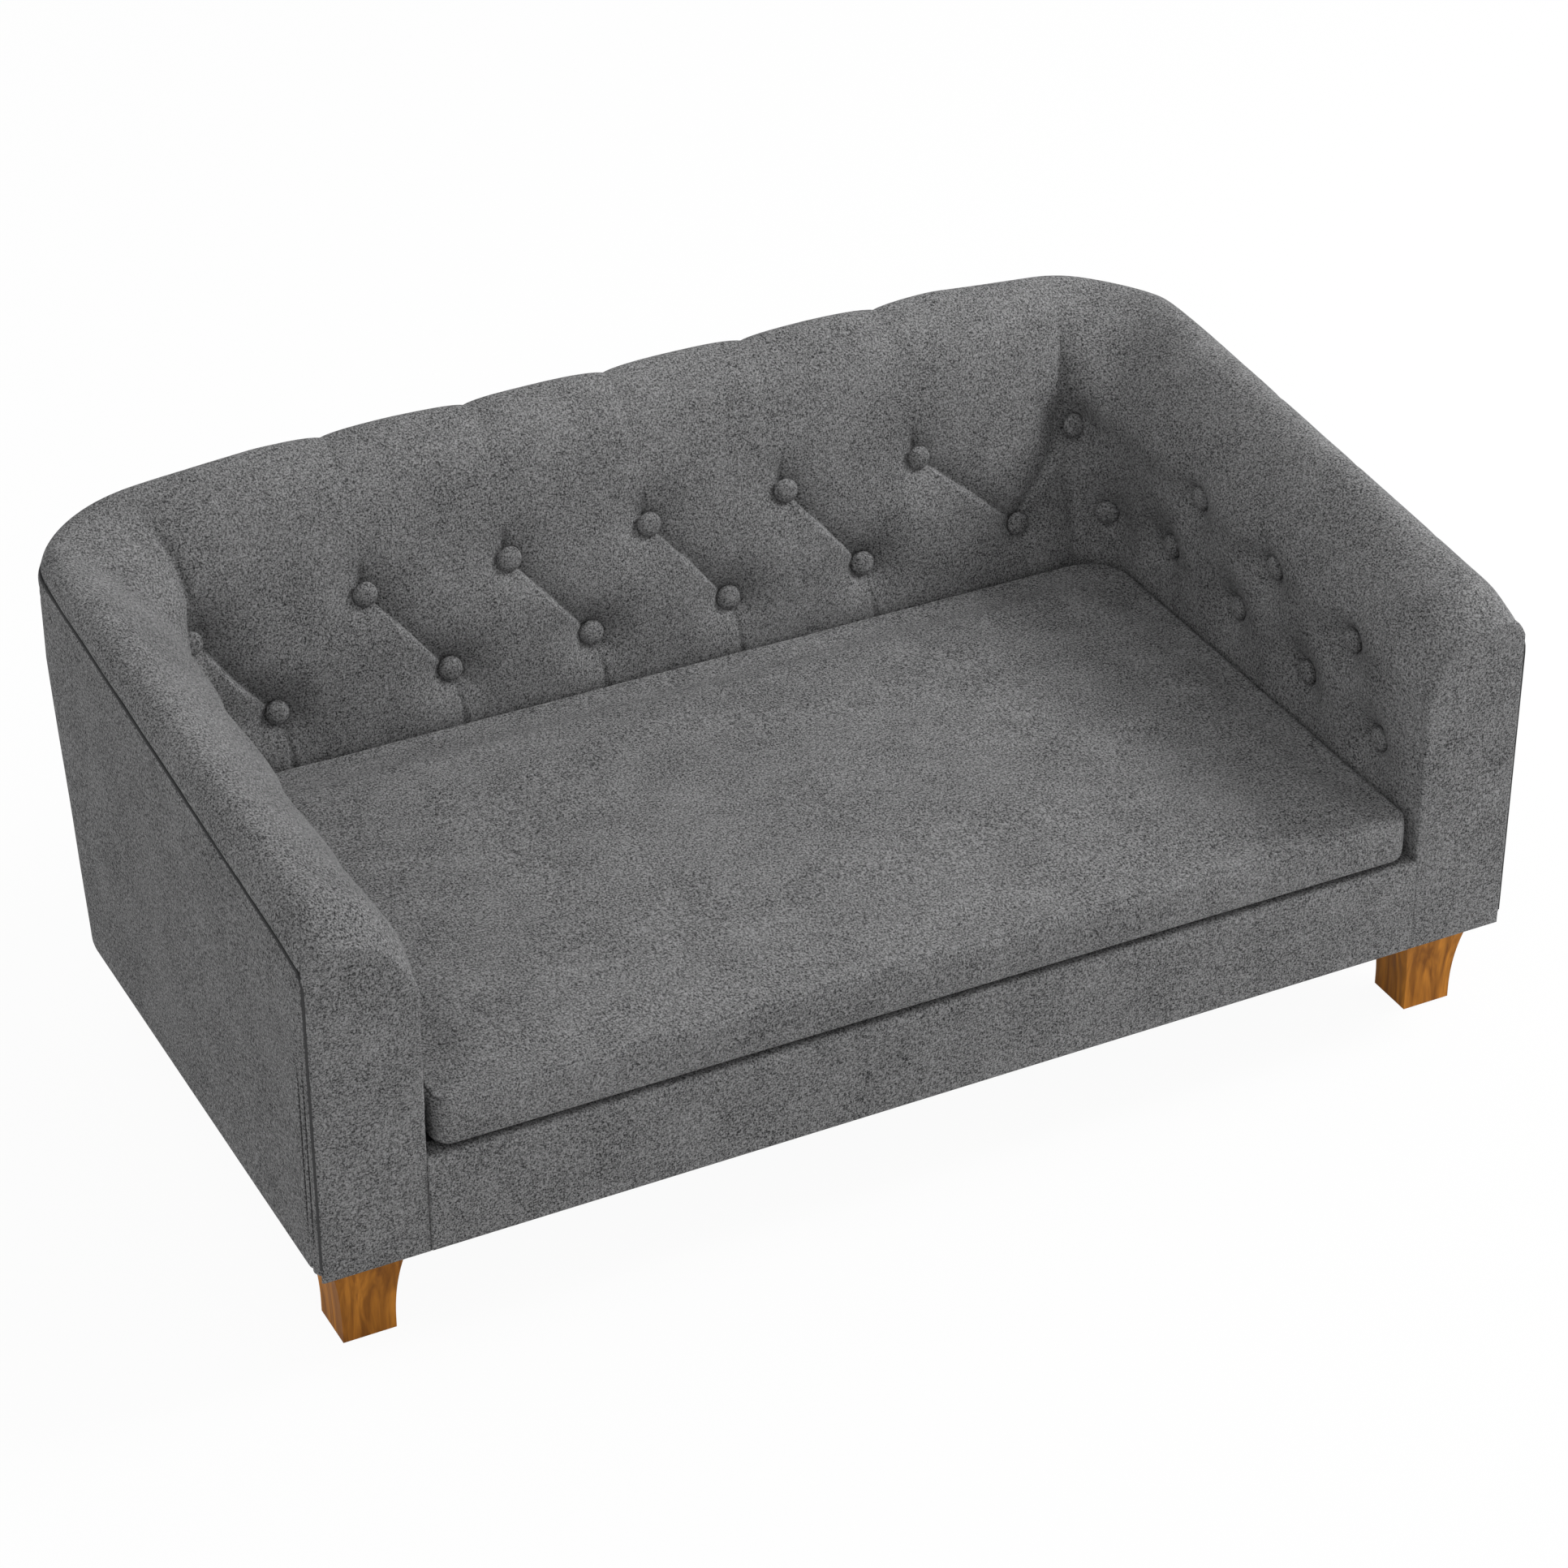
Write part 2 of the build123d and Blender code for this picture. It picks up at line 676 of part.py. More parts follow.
def make_outer_covers():
    top = [(depth, arm_rim(depth)) for depth, *_ in reversed(arm_stations())]
    side = side_profile(board_outer, half_width, [
        (0, skirt_bottom), (corner_start(skirt_bottom), skirt_bottom), (corner_depth, bend_height),
        (corner_depth, rim_corner_height), *top, (facing_thickness, rim_front_height), (0, rim_front_height)])
    low_front = side.edges().filter_by(Axis.X).group_by(Axis.Y)[0].sort_by(Axis.Z)[0]
    side = fillet(low_front, front_cover_radius)
    low_ring = corner_ring(corner_radius, shell_radius, skirt_bottom, bend_height)
    high_ring = corner_ring(corner_radius, shell_radius, bend_height, rim_back_height) - rim_cutter()
    pair("side_cover", side + low_ring + high_ring)

    rear = side_profile(-corner_centre, corner_centre, [
        (rear_face(skirt_bottom) - cover_thickness, skirt_bottom), (rear_face(skirt_bottom), skirt_bottom),
        (overall_depth, bend_height), (overall_depth, rim_back_height),
        (shell_depth, rim_back_height), (shell_depth, bend_height)])
    places = [place for place, *_ in back_stations() if place > back_level_half_span - half_pitch]
    places += [corner_centre]
    outline = [(place, back_rim(place)) for place in places]
    outline += [(corner_centre, rim_back_height + overrun), (places[0], rim_back_height + overrun)]
    wedge = front_profile(shell_depth - overrun, overall_depth + overrun, outline)
    parts["rear_cover"] = rear - [wedge, mirror(wedge, about=Plane.YZ)]


def facing_wire(depth, inset):
    """The arched outline of an arm's front at a depth, drawn in by an inset."""
    crest = at(half_width - arm_crest_inset, depth, crest_front_height - inset)
    rim = at(board_outer - inset, depth, rim_front_height - inset)
    foot = at(inner_face + inset, depth, crest_front_height - arm_foot_drop - inset)
    low_inner = at(inner_face + inset, depth, skirt_bottom + inset)
    low_outer = at(board_outer - inset, depth, skirt_bottom + inset)
    return Wire([
        Line(low_inner, low_outer), Line(low_outer, rim),
        ThreePointArc(rim, roll_middle(rim, crest, outer_roll_rise), crest),
        ThreePointArc(crest, roll_middle(crest, foot, inner_roll_rise), foot), Line(foot, low_inner)])


def make_front_covers():
    outlines = [facing_wire(facing_thickness, 0), facing_wire(edge_softness, 0),
                facing_wire(0, edge_softness)]
    pair("arm_facing", Solid.make_loft(outlines, ruled=True))

    apron = side_profile(-inner_face, inner_face, [
        (0, skirt_bottom), (facing_thickness, skirt_bottom), (facing_thickness, rail_top),
        (front_rear, rail_top), (front_rear, seat_height), (0, seat_height)])
    front_edges = apron.edges().filter_by(Axis.X).group_by(Axis.Y)[0]
    parts["front_rail_cover"] = fillet(front_edges, edge_softness)


def leg_seats():
    """Where the four legs meet the frame."""
    places = [(front_leg_place, front_leg_depth), (rear_leg_place, rear_leg_depth)]
    return [(side, place, depth) for place, depth in places for side in (1, -1)]


def make_dust_cover():
    sheet = block(-board_outer + dust_cover_margin, board_outer - dust_cover_margin,
                  rail_rear, outer_board_depth - dust_cover_margin, leg_height - dust_cover_thickness, leg_height)
    rear_corners = sheet.edges().filter_by(Axis.Z).group_by(Axis.Y)[-1]
    sheet = fillet(rear_corners, shell_radius - dust_cover_margin)
    reach = leg_top_side / 2 + dust_cover_leg_gap
    notches = [
        Pos(side * place, front + depth, leg_height) * Box(2 * reach, 2 * reach, overrun)
        for side, place, depth in leg_seats()
    ]
    parts["dust_cover"] = sheet - notches


# Legs, corner blocks, hanger bolts and nuts
def flared_leg():
    """A square leg with hollow flared sides, standing on the floor at the origin."""
    foot, top = leg_foot_side / 2, leg_top_side / 2
    outline = [
        Line((-foot, 0), (foot, 0)), Line((foot, 0), (foot, leg_straight)),
        TangentArc((foot, leg_straight), (top, leg_height), tangent=(0, 1)),
        Line((top, leg_height), (-top, leg_height)),
        TangentArc((-foot, leg_straight), (-top, leg_height), tangent=(0, 1)),
        Line((-foot, leg_straight), (-foot, 0))]
    slab = extrude(Plane.XZ * make_face(outline), amount=top, both=True)
    leg = slab & (Rot(0, 0, 90) * slab)
    hole = Cylinder(bolt_diameter / 2 + thread_clearance, bolt_in_leg + thread_clearance,
                    align=(Align.CENTER, Align.CENTER, Align.MAX))
    return leg - Pos(0, 0, leg_height) * hole


def hanger_bolt():
    bolt = Cylinder(bolt_diameter / 2, bolt_length, align=(Align.CENTER, Align.CENTER, Align.MIN))
    return Pos(0, 0, leg_height - bolt_in_leg) * bolt


def nut_body():
    """A threaded plate on top of a corner block."""
    plate = Cylinder(nut_diameter / 2, nut_thickness, align=(Align.CENTER, Align.CENTER, Align.MIN))
    return Pos(0, 0, leg_height + block_height) * plate


def make_legs():
    bore = Pos(0, 0, leg_height - overrun) * Cylinder(
        bolt_diameter / 2 + thread_clearance, 3 * overrun, align=(Align.CENTER, Align.CENTER, Align.MIN))
    nut = nut_body() - bore
    names = ["front_right", "front_left", "rear_right", "rear_left"]
    rail_face = board_inner - rail_thickness
    top = leg_height + block_height
    front_block = block(rail_face - front_block_width, rail_face, rail_rear, rail_rear + front_block_length,
                        leg_height, top)
    rear_block = side_profile(rail_face - rear_block_side, rail_face, [
        (rear_rail_face(leg_height) - rear_block_side, leg_height), (rear_rail_face(leg_height), leg_height),
        (rear_rail_face(top), top), (rear_rail_face(leg_height) - rear_block_side, top)])
    rear_block -= block(corner_centre, half_width, corner_start(leg_height), overall_depth, 0, top + overrun)
    bolts, nuts = [], []
    for name, (side, place, depth) in zip(names, leg_seats()):
        seat = Pos(side * place, front + depth, 0)
        solid = front_block if depth == front_leg_depth else rear_block
        if side < 0:
            solid = mirror(solid, about=Plane.YZ)
        parts[name + "_leg"] = seat * flared_leg()
        parts[name + "_block"] = solid - seat * bore
        bolts.append(seat * hanger_bolt())
        nuts.append(seat * nut)
    parts["leg_bolts"] = Compound(children=bolts)
    parts["leg_nuts"] = Compound(children=nuts)


# Seat cushion
cushion_bottom = seat_height + rest_gap
zip_height = cushion_bottom + cushion_edge_height / 2
zip_face = cushion_rear - cushion_fabric


def cushion_form(inset):
    """The crowned cushion, or what lies at an inset from all its faces."""
    half = cushion_half_width - inset
    near, far = cushion_front + inset, cushion_rear - inset
    low = cushion_bottom + inset
    edge = cushion_bottom + cushion_edge_height - inset
    half_span = (far - near) / 2
    reach = half_span + overrun
    sections = []
    for share in cushion_section_shares:
        crown = cushion_crown * (1 - (1 - cushion_end_crown_share) * share * share)
        radius = (half_span * half_span + crown * crown) / (2 * crown)
        drop = radius - sqrt(radius * radius - reach * reach)
        place = (half + overrun) * share
        summit = at(place, near + half_span, edge + crown)
        near_top, far_top = summit + Vector(0, -reach, -drop), summit + Vector(0, reach, -drop)
        near_low, far_low = at(place, near - overrun, low - overrun), at(place, far + overrun, low - overrun)
        sections.append(Wire([
            Line(near_low, near_top), ThreePointArc(near_top, summit, far_top),
            Line(far_top, far_low), Line(far_low, near_low)]))
    plan = block(-half, half, near, far, low, edge + 2 * cushion_crown)
    uprights = plan.edges().filter_by(Axis.Z).group_by(Axis.Y)
    plan = fillet(uprights[0], cushion_front_radius - inset)
    plan = fillet(plan.edges().filter_by(Axis.Z).group_by(Axis.Y)[-1], cushion_rear_radius - inset)
    return plan & Solid.make_loft(sections, ruled=True)


def zip_strip(half_length, d0, d1, height):
    """A strip along the zip, centred on the zip's height."""
    return block(-half_length, half_length, d0, d1, zip_height - height / 2, zip_height + height / 2)


def make_cushion():
    tape_half = zip_half_length + zip_tape_margin
    tape = zip_strip(tape_half, zip_face - zip_tape_thickness, zip_face, zip_tape_height)
    opening = zip_strip(zip_half_length, zip_face - overrun, cushion_rear + overrun, zip_opening_height)
    inside = cushion_form(cushion_fabric)
    parts["cushion_foam"] = inside - tape
    parts["cushion_cover"] = cushion_form(0) - inside - opening
    parts["cushion_zip_tape"] = tape
    coil_end = zip_half_length - slider_end_gap
    parts["cushion_zip_coil"] = zip_strip(coil_end, zip_face, zip_face + zip_coil_thickness, zip_coil_height)

    start = slider_length - zip_half_length
    slider_face = zip_face + zip_coil_thickness + slider_clearance + slider_plate
    half_slider = slider_length / 2
    slider = block(start - half_slider, start + half_slider, zip_face + slider_clearance, slider_face,
                   zip_height - slider_height / 2, zip_height + slider_height / 2)
    channel = zip_strip(zip_half_length, zip_face, slider_face - slider_plate,
                        zip_coil_height + 2 * slider_clearance)
    parts["zip_slider"] = slider - channel
    pull_start = start + half_slider - pull_overlap
    pull = block(pull_start, pull_start + pull_length, slider_face, slider_face + pull_thickness,
                 zip_height - pull_height / 2, zip_height + pull_height / 2)
    free_corners = pull.edges().filter_by(Axis.Y)
    parts["zip_pull"] = fillet(free_corners, pull_height / 3)


make_base()
make_arm_boxes()
make_back_frame()
make_pads()
make_buttons()
make_outer_covers()
make_front_covers()
make_dust_cover()
make_legs()
make_cushion()

os.makedirs("parts", exist_ok=True)
for name, shape in parts.items():
    export_step(shape, "parts/" + name + ".step")
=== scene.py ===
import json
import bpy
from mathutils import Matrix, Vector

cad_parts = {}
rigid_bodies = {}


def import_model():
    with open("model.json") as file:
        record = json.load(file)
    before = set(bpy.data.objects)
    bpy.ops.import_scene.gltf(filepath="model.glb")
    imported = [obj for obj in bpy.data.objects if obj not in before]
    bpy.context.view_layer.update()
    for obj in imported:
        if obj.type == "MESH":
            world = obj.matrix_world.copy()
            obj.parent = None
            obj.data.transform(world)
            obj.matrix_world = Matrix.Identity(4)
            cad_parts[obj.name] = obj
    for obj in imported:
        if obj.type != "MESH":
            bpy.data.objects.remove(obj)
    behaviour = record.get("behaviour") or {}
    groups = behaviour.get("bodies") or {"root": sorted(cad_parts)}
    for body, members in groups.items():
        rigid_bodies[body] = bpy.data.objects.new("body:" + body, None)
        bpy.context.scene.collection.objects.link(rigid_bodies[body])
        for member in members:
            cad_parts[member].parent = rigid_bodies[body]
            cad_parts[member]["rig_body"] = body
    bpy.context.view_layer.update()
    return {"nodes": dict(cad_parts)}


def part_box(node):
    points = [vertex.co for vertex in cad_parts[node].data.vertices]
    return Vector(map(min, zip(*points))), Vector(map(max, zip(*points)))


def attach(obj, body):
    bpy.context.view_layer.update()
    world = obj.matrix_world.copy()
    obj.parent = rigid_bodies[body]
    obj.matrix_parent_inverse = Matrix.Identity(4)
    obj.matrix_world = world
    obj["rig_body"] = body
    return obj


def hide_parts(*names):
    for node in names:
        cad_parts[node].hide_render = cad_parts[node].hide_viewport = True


bl_info = {
    "name": "Dog sofa bed",
    "version": (1, 0, 0),
    "blender": (4, 5, 0),
    "location": "3D View > Sidebar > Dog sofa bed",
    "description": "Dresses a tufted dog sofa bed with its upholstery, loose cushion, wood and stage",
    "category": "Add Mesh",
}

from contextlib import contextmanager

import bmesh
import bpy
import numpy as np
from bpy.props import FloatProperty, FloatVectorProperty, PointerProperty
from mathutils import Vector, noise
from mathutils.bvhtree import BVHTree

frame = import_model()

# Places are worked out in millimetres as (place across, depth from the front face, height)
# and turned to metres when a mesh is made.
MM = 0.001
FRONT = -284.0
REAR = 568.0
SIDE = 480.0
SKIRT = 77.0
SEAT = 157.0
SIDES = ((-1, "left"), (1, "right"))

# The outside leans up to the bend and turns its rear corners on a radius
LEAN = 0.20527
BEND = 300.0
CORNER = 403.0
CORNER_DEPTH = 491.0
CORNER_RADIUS = SIDE - CORNER

# Boards and covers that the pads meet
BOARDS = 476.0
INNER = 398.7
ARM_FACE = 393.5
ARM_BOARD = 418.0
ARM_END = 430.0
SEAT_EDGE = 450.0
BACK_FRAME = 43.4
REAR_LINING = 564.0
FACING = 10.0
FACING_SIDE = 478.6
PANEL_START = 3.2

# Heights of a pad's face between seat and roll, as shares, and how far each stands proud
# of the plane that the buttons are pulled to
FACE_SHARES = (0.0, 0.11, 0.225, 0.387, 0.55, 0.696, 0.853, 1.0)
BACK_BULGE = np.array([0.0, 6.3, 11.3, 13.7, 12.1, 7.3, 1.0, -5.0])
ARM_BULGE = np.array([-2.0, 0.5, 1.3, 1.7, 1.7, 1.7, 1.2, 0.0])
CREASE_BULGE = np.array([0.0, 2.5, 4.5, 5.5, 5.0, 3.0, -1.5, -5.0])

# Seams along the top (rims) and tops of the rolls (crests): places, and heights at them
ARM_RIM = (FACING, 40.0, CORNER_DEPTH), (328.0, 333.0, 369.5)
ARM_CREST = (FACING, 40.0, CORNER_DEPTH), (347.0, 361.0, 387.0)
CORNER_CREST = (0.0, 1.0), (387.0, 395.0)
BACK_RIM = (288.0, CORNER), (390.0, 382.0)
BACK_CREST = (288.0, CORNER), (406.0, 395.5)
CORNER_SAG = 6.0
RIM_ROUND = 10.0
ARM_ROLL = 23.0
BACK_ROLL = 15.0
BACK_FALL = 56.5

# The crease between an arm's pad and the back's: depths, and places at them
CREASE = (450.0, 488.0, 505.0, 524.0, 545.0, REAR), (371.0, 370.0, 376.0, 384.7, 393.5, CORNER)


def length_property(name, description, default, low, high):
    return FloatProperty(name=name, description=description, default=default, min=low, max=high,
                         subtype="DISTANCE", unit="LENGTH")


def colour_property(name, description, default):
    return FloatVectorProperty(name=name, description=description, default=default, size=4,
                               subtype="COLOR", min=0.0, max=1.0)


class SofaSizes(bpy.types.PropertyGroup):
    """Sizes of the dressed bed that can be changed."""

    tuft_width: length_property("Tuft width", "Reach of the hollow round a button", 0.022, 0.005, 0.05)
    pleat_depth: length_property(
        "Pleat depth", "Depth of the slanting pleats halfway between two buttons", 0.0074, 0.0, 0.015)
    roll_pleat_depth: length_property(
        "Roll pleat depth", "Depth of the upright pleats where they cross the roll", 0.0022, 0.0, 0.01)
    corner_crease_depth: length_property(
        "Corner crease depth", "Depth of the crease where an arm meets the back", 0.0032, 0.0, 0.02)
    button_diameter: length_property("Button diameter", "Width of a covered button", 0.0195, 0.01, 0.04)
    edge_radius: length_property(
        "Seam roundness", "Radius at which a cover turns into its seam", 0.0028, 0.0005, 0.01)
    stitch_length: length_property(
        "Stitch length", "Length of one stitch of the topstitching", 0.0036, 0.001, 0.01)
    cushion_swell: length_property(
        "Cushion swell", "The most that the cushion's cover may swell when it is filled", 0.007, 0.0, 0.02)


class SofaColours(bpy.types.PropertyGroup):
    """Colours of the dressed bed that can be changed."""

    fabric_dark: colour_property("Dark yarn", "Darker yarn of the upholstery", (0.020, 0.020, 0.021, 1))
    fabric_light: colour_property("Light yarn", "Lighter yarn of the upholstery", (0.36, 0.36, 0.362, 1))
    # The thread colour does two jobs. On the topstitching it is the real dark thread. On the tubes laid in the seams
    # it is painted shade of the seam grooves.
    thread: colour_property("Thread", "Dark thread of the seams and the topstitching", (0.045, 0.045, 0.046, 1))
    lining: colour_property("Lining", "Black cloth under the seat and the frame", (0.018, 0.018, 0.019, 1))
    wood_dark: colour_property("Wood streaks", "Darker grain of the stained legs", (0.155, 0.052, 0.009, 1))
    wood_light: colour_property("Wood ground", "Ground colour of the stained legs", (0.60, 0.238, 0.034, 1))
    timber: colour_property("Timber", "Sawn timber of the frame", (0.52, 0.36, 0.20, 1))
    board: colour_property("Board", "Pressed board of the frame", (0.42, 0.29, 0.17, 1))
    foam: colour_property("Foam", "Foam fillings", (0.72, 0.66, 0.46, 1))
    steel: colour_property("Steel", "Bolts, nuts and the zip's slider", (0.58, 0.58, 0.60, 1))
    zip: colour_property("Zip coil", "Nylon coil of the zip", (0.06, 0.06, 0.062, 1))


def millimetres(name):
    """One of the bed's sizes, in millimetres."""
    return getattr(bpy.context.scene.dog_sofa_sizes, name) / MM


def tint(name, share=1.0):
    """One of the bed's colours, made darker or paler by a share."""
    colour = getattr(bpy.context.scene.dog_sofa_colours, name)
    return tuple(min(1.0, c * share) for c in colour[:3]) + (1,)


# Finishes
def sum_of(operation, turned=False):
    """A method that joins a value with another one, which comes first when turned."""
    def method(self, other):
        first, second = (other, self) if turned else (self, other)
        made = self.finish.node("Math", {"operation": operation}, {0: first, 1: second})
        return Value(self.finish, made.outputs[0])
    return method


class Value:
    """A socket that takes part in sums; each sum adds a node."""

    def __init__(self, finish, socket):
        self.finish = finish
        self.socket = socket

    __add__, __radd__ = sum_of("ADD"), sum_of("ADD", turned=True)
    __sub__, __rsub__ = sum_of("SUBTRACT"), sum_of("SUBTRACT", turned=True)
    __mul__, __rmul__ = sum_of("MULTIPLY"), sum_of("MULTIPLY", turned=True)


class Finish:
    """The nodes of a material, or of the world, in the making."""

    def __init__(self, name, kind="materials"):
        self.owner = getattr(bpy.data, kind).new(name)
        self.owner.use_nodes = True
        self.tree = self.owner.node_tree
        self.tree.nodes.clear()

    def node(self, kind, settings=None, sockets=None):
        """A node of a type, with its settings first and then its sockets' values or links."""
        made = self.tree.nodes.new("ShaderNode" + kind)
        for name, value in (settings or {}).items():
            setattr(made, name, value)
        for name, value in (sockets or {}).items():
            named = (s for number, s in enumerate(made.inputs) if name in (number, s.identifier, s.name))
            socket = next(named)
            if isinstance(value, Value):
                self.tree.links.new(value.socket, socket)
            else:
                socket.default_value = value
        return made

    def output(self, made, name):
        return Value(self, next(s for s in made.outputs if name in (s.identifier, s.name)))

    def places(self, stretch=(1, 1, 1)):
        """Places on the piece, stretched along its axes."""
        coordinates = self.output(self.node("TexCoord"), "Object")
        scaled = self.node("VectorMath", {"operation": "MULTIPLY"}, {0: coordinates, 1: stretch})
        return self.output(scaled, "Vector")

    def grain(self, scale, detail, roughness, distortion=0.0, stretch=(1, 1, 1)):
        """Noise over the piece."""
        made = self.node("TexNoise", None, {
            "Vector": self.places(stretch), "Scale": scale, "Detail": detail, "Roughness": roughness,
            "Distortion": distortion})
        return self.output(made, "Fac")

    def mixed(self, share, first, second):
        """One colour turning into another as the share grows."""
        made = self.node("Mix", {"data_type": "RGBA"}, {
            "Factor_Float": share, "A_Color": first, "B_Color": second})
        return self.output(made, "Result_Color")

    def spread(self, value, low, high):
        """The value's range from low to high, opened to 0 to 1."""
        made = self.node("MapRange", {"clamp": True}, {"Value": value, "From Min": low, "From Max": high})
        return self.output(made, "Result")

    def seen_by(self, *rays):
        """1 where one of these kinds of ray looks, else 0."""
        path = self.node("LightPath")
        return self.spread(sum(self.output(path, ray) for ray in rays), 0.0, 1.0)

    def closed(self, shader, kind="OutputMaterial"):
        self.node(kind, None, {"Surface": Value(self, shader.outputs[0])})
        return self.owner

    def finished(self, colour, roughness, relief, distance, strength, specular=0.5, metallic=0.0):
        """Closes the material with its colour, roughness and relief."""
        bump = self.node("Bump", None, {"Height": relief, "Strength": strength, "Distance": distance})
        return self.closed(self.node("BsdfPrincipled", None, {
            "Base Color": colour, "Roughness": roughness, "Normal": self.output(bump, "Normal"),
            "Specular IOR Level": specular, "Metallic": metallic}))


def heather_fabric():
    """Short-piled heather weave: dark and light yarns, fuzz and soft mottling."""
    finish = Finish("heather_fabric")
    yarn = finish.grain(760, 3.0, 0.78, stretch=(1, 0.68, 1))
    across = finish.grain(1050, 2.0, 0.6, stretch=(0.45, 0.68, 1.25))
    upright = finish.grain(1050, 2.0, 0.6, stretch=(1.25, 0.68, 0.45))
    cloud = finish.grain(26, 4.0, 0.6)
    patch = finish.grain(7, 2.0, 0.5)
    weave = finish.spread(yarn * 0.56 + across * 0.22 + upright * 0.22, 0.42, 0.58)
    tone = weave * 0.84 + cloud * 0.34 + patch * 0.14 - 0.21
    colour = finish.mixed(tone, tint("fabric_dark"), tint("fabric_light"))
    return finish.finished(colour, 0.93, weave, 0.0004, 0.45, specular=0.15)


def lining_cloth():
    finish = Finish("lining_cloth")
    fibres = finish.grain(700, 3.0, 0.7, stretch=(1, 0.4, 1))
    colour = finish.mixed(finish.spread(fibres, 0.35, 0.65), tint("lining"), tint("lining", 2.4))
    return finish.finished(colour, 0.9, fibres, 0.0002, 0.4)


def stained_wood():
    """Stained wood with upright grain, darker streaks and a worn sheen."""
    finish = Finish("stained_wood")
    wave = finish.grain(80, 3.0, 0.6, 0.9, stretch=(1, 1, 0.14))
    line = finish.grain(260, 3.0, 0.6, stretch=(1, 1, 0.05))
    pore = finish.grain(1100, 2.0, 0.6, stretch=(1, 1, 0.03))
    lines = finish.spread(line, 0.3, 0.7)
    tone = finish.spread(wave, 0.38, 0.62) * 0.62 + lines * 0.30 + pore * 0.16
    colour = finish.mixed(tone, tint("wood_dark"), tint("wood_light"))
    return finish.finished(colour, 0.55 + lines * 0.14, line, 0.0002, 0.25, specular=0.1)


def sawn_timber(name, stretch):
    """Pale timber whose grain runs along the piece."""
    finish = Finish(name)
    wave = finish.grain(60, 4.0, 0.6, 0.8, stretch)
    fine = finish.grain(420, 2.0, 0.6, stretch=stretch)
    tone = finish.spread(wave, 0.35, 0.65) * 0.7 + fine * 0.5
    colour = finish.mixed(tone, tint("timber", 0.55), tint("timber"))
    return finish.finished(colour, 0.72, fine, 0.0003, 0.3)


def pressed_board():
    finish = Finish("pressed_board")
    chips = finish.grain(240, 3.0, 0.65)
    tone = finish.spread(chips, 0.3, 0.7) * 0.75 + finish.grain(30, 3.0, 0.5) * 0.25
    colour = finish.mixed(tone, tint("board", 0.6), tint("board"))
    return finish.finished(colour, 0.8, chips, 0.0003, 0.3)


def open_foam():
    finish = Finish("open_foam")
    cells = finish.node("TexVoronoi", None, {"Vector": finish.places(), "Scale": 700.0})
    depth = finish.output(cells, "Distance")
    tone = finish.spread(depth, 0.0, 0.6) * 0.6 + finish.grain(40, 3.0, 0.5) * 0.4
    colour = finish.mixed(tone, tint("foam"), tint("foam", 0.62))
    return finish.finished(colour, 0.95, 1 - depth, 0.0004, 0.5)


def bright_steel():
    finish = Finish("bright_steel")
    worn = finish.grain(320, 3.0, 0.6)
    colour = finish.mixed(worn, tint("steel", 0.8), tint("steel"))
    return finish.finished(colour, 0.28 + worn * 0.2, worn, 0.00005, 0.2, metallic=1.0)


# Dark thread finish. It is real thread on the topstitching and painted shade on the tubes laid in the seam grooves.
def dark_thread():
    finish = Finish("dark_thread")
    twist = finish.grain(900, 2.0, 0.6)
    colour = finish.mixed(twist, tint("thread"), tint("thread", 1.6))
    return finish.finished(colour, 0.85, twist, 0.0002, 0.4, specular=0.15)


def nylon_coil():
    finish = Finish("nylon_coil")
    fine = finish.grain(500, 2.0, 0.5)
    colour = finish.mixed(fine, tint("zip"), tint("zip", 1.8))
    return finish.finished(colour, 0.35 + fine * 0.15, fine, 0.0001, 0.2)


FINISHES = {
    "fabric": heather_fabric,
    "lining": lining_cloth,
    "thread": dark_thread,
    "leg_wood": stained_wood,
    "timber_across": lambda: sawn_timber("timber_across", (0.06, 1, 1)),
    "timber_back": lambda: sawn_timber("timber_back", (1, 0.06, 1)),
    "timber_up": lambda: sawn_timber("timber_up", (1, 1, 0.06)),
    "board": pressed_board,
    "foam": open_foam,
    "steel": bright_steel,
    "coil": nylon_coil,
}
made_finishes = {}


def finished_in(mesh, name):
    """Gives a mesh its finish, which is made when it is first used."""
    if name not in made_finishes:
        made_finishes[name] = FINISHES[name]()
    mesh.materials.clear()
    mesh.materials.append(made_finishes[name])


# Meshes and pieces
def linked(name, data):
    """A new object in the scene."""
    made = bpy.data.objects.new(name, data)
    bpy.context.scene.collection.objects.link(made)
    return made


def mesh_of(name, points, faces):
    """A mesh from points in millimetres."""
    mesh = bpy.data.meshes.new(name)
    mesh.from_pydata(((np.reshape(points, (-1, 3)) + (0, FRONT, 0)) * MM).tolist(), [],
                     [list(face) for face in faces])
    return mesh


@contextmanager
def edited(mesh):
    """A mesh opened for work on its faces and written back after it."""
    made = bmesh.new()
    made.from_mesh(mesh)
    yield made
    made.to_mesh(mesh)
    made.free()


def dressed(mesh, name, finish, slot, stands_for=(), body="sofa_frame", sharp=None):
    """A piece that rides on a body and stands for CAD nodes, smooth but for edges sharper than an
    angle."""
    made = linked(name, mesh)
    finished_in(mesh, finish)
    mesh.shade_smooth()
    if sharp:
        mesh.set_sharp_from_angle(angle=np.radians(sharp))
    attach(made, body)
    if stands_for:
        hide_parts(*stands_for)
    return made


def piece(name, net, finish="fabric", slot="upholstery", *stands_for, **more):
    """A dressed piece from points in millimetres and faces."""
    mesh = mesh_of(name, *net)
    mesh.validate()
    with edited(mesh) as made:
        bmesh.ops.recalc_face_normals(made, faces=made.faces)
    return dressed(mesh, name, finish, slot, stands_for, **more)


def cad_copy(node):
    return frame["nodes"][node].data.copy()


def coordinates(mesh):
    flat = np.empty(len(mesh.vertices) * 3)
    mesh.vertices.foreach_get("co", flat)
    return flat.reshape(-1, 3)


def set_coordinates(mesh, points):
    mesh.vertices.foreach_set("co", np.ascontiguousarray(points, dtype=float).ravel())
    mesh.update()


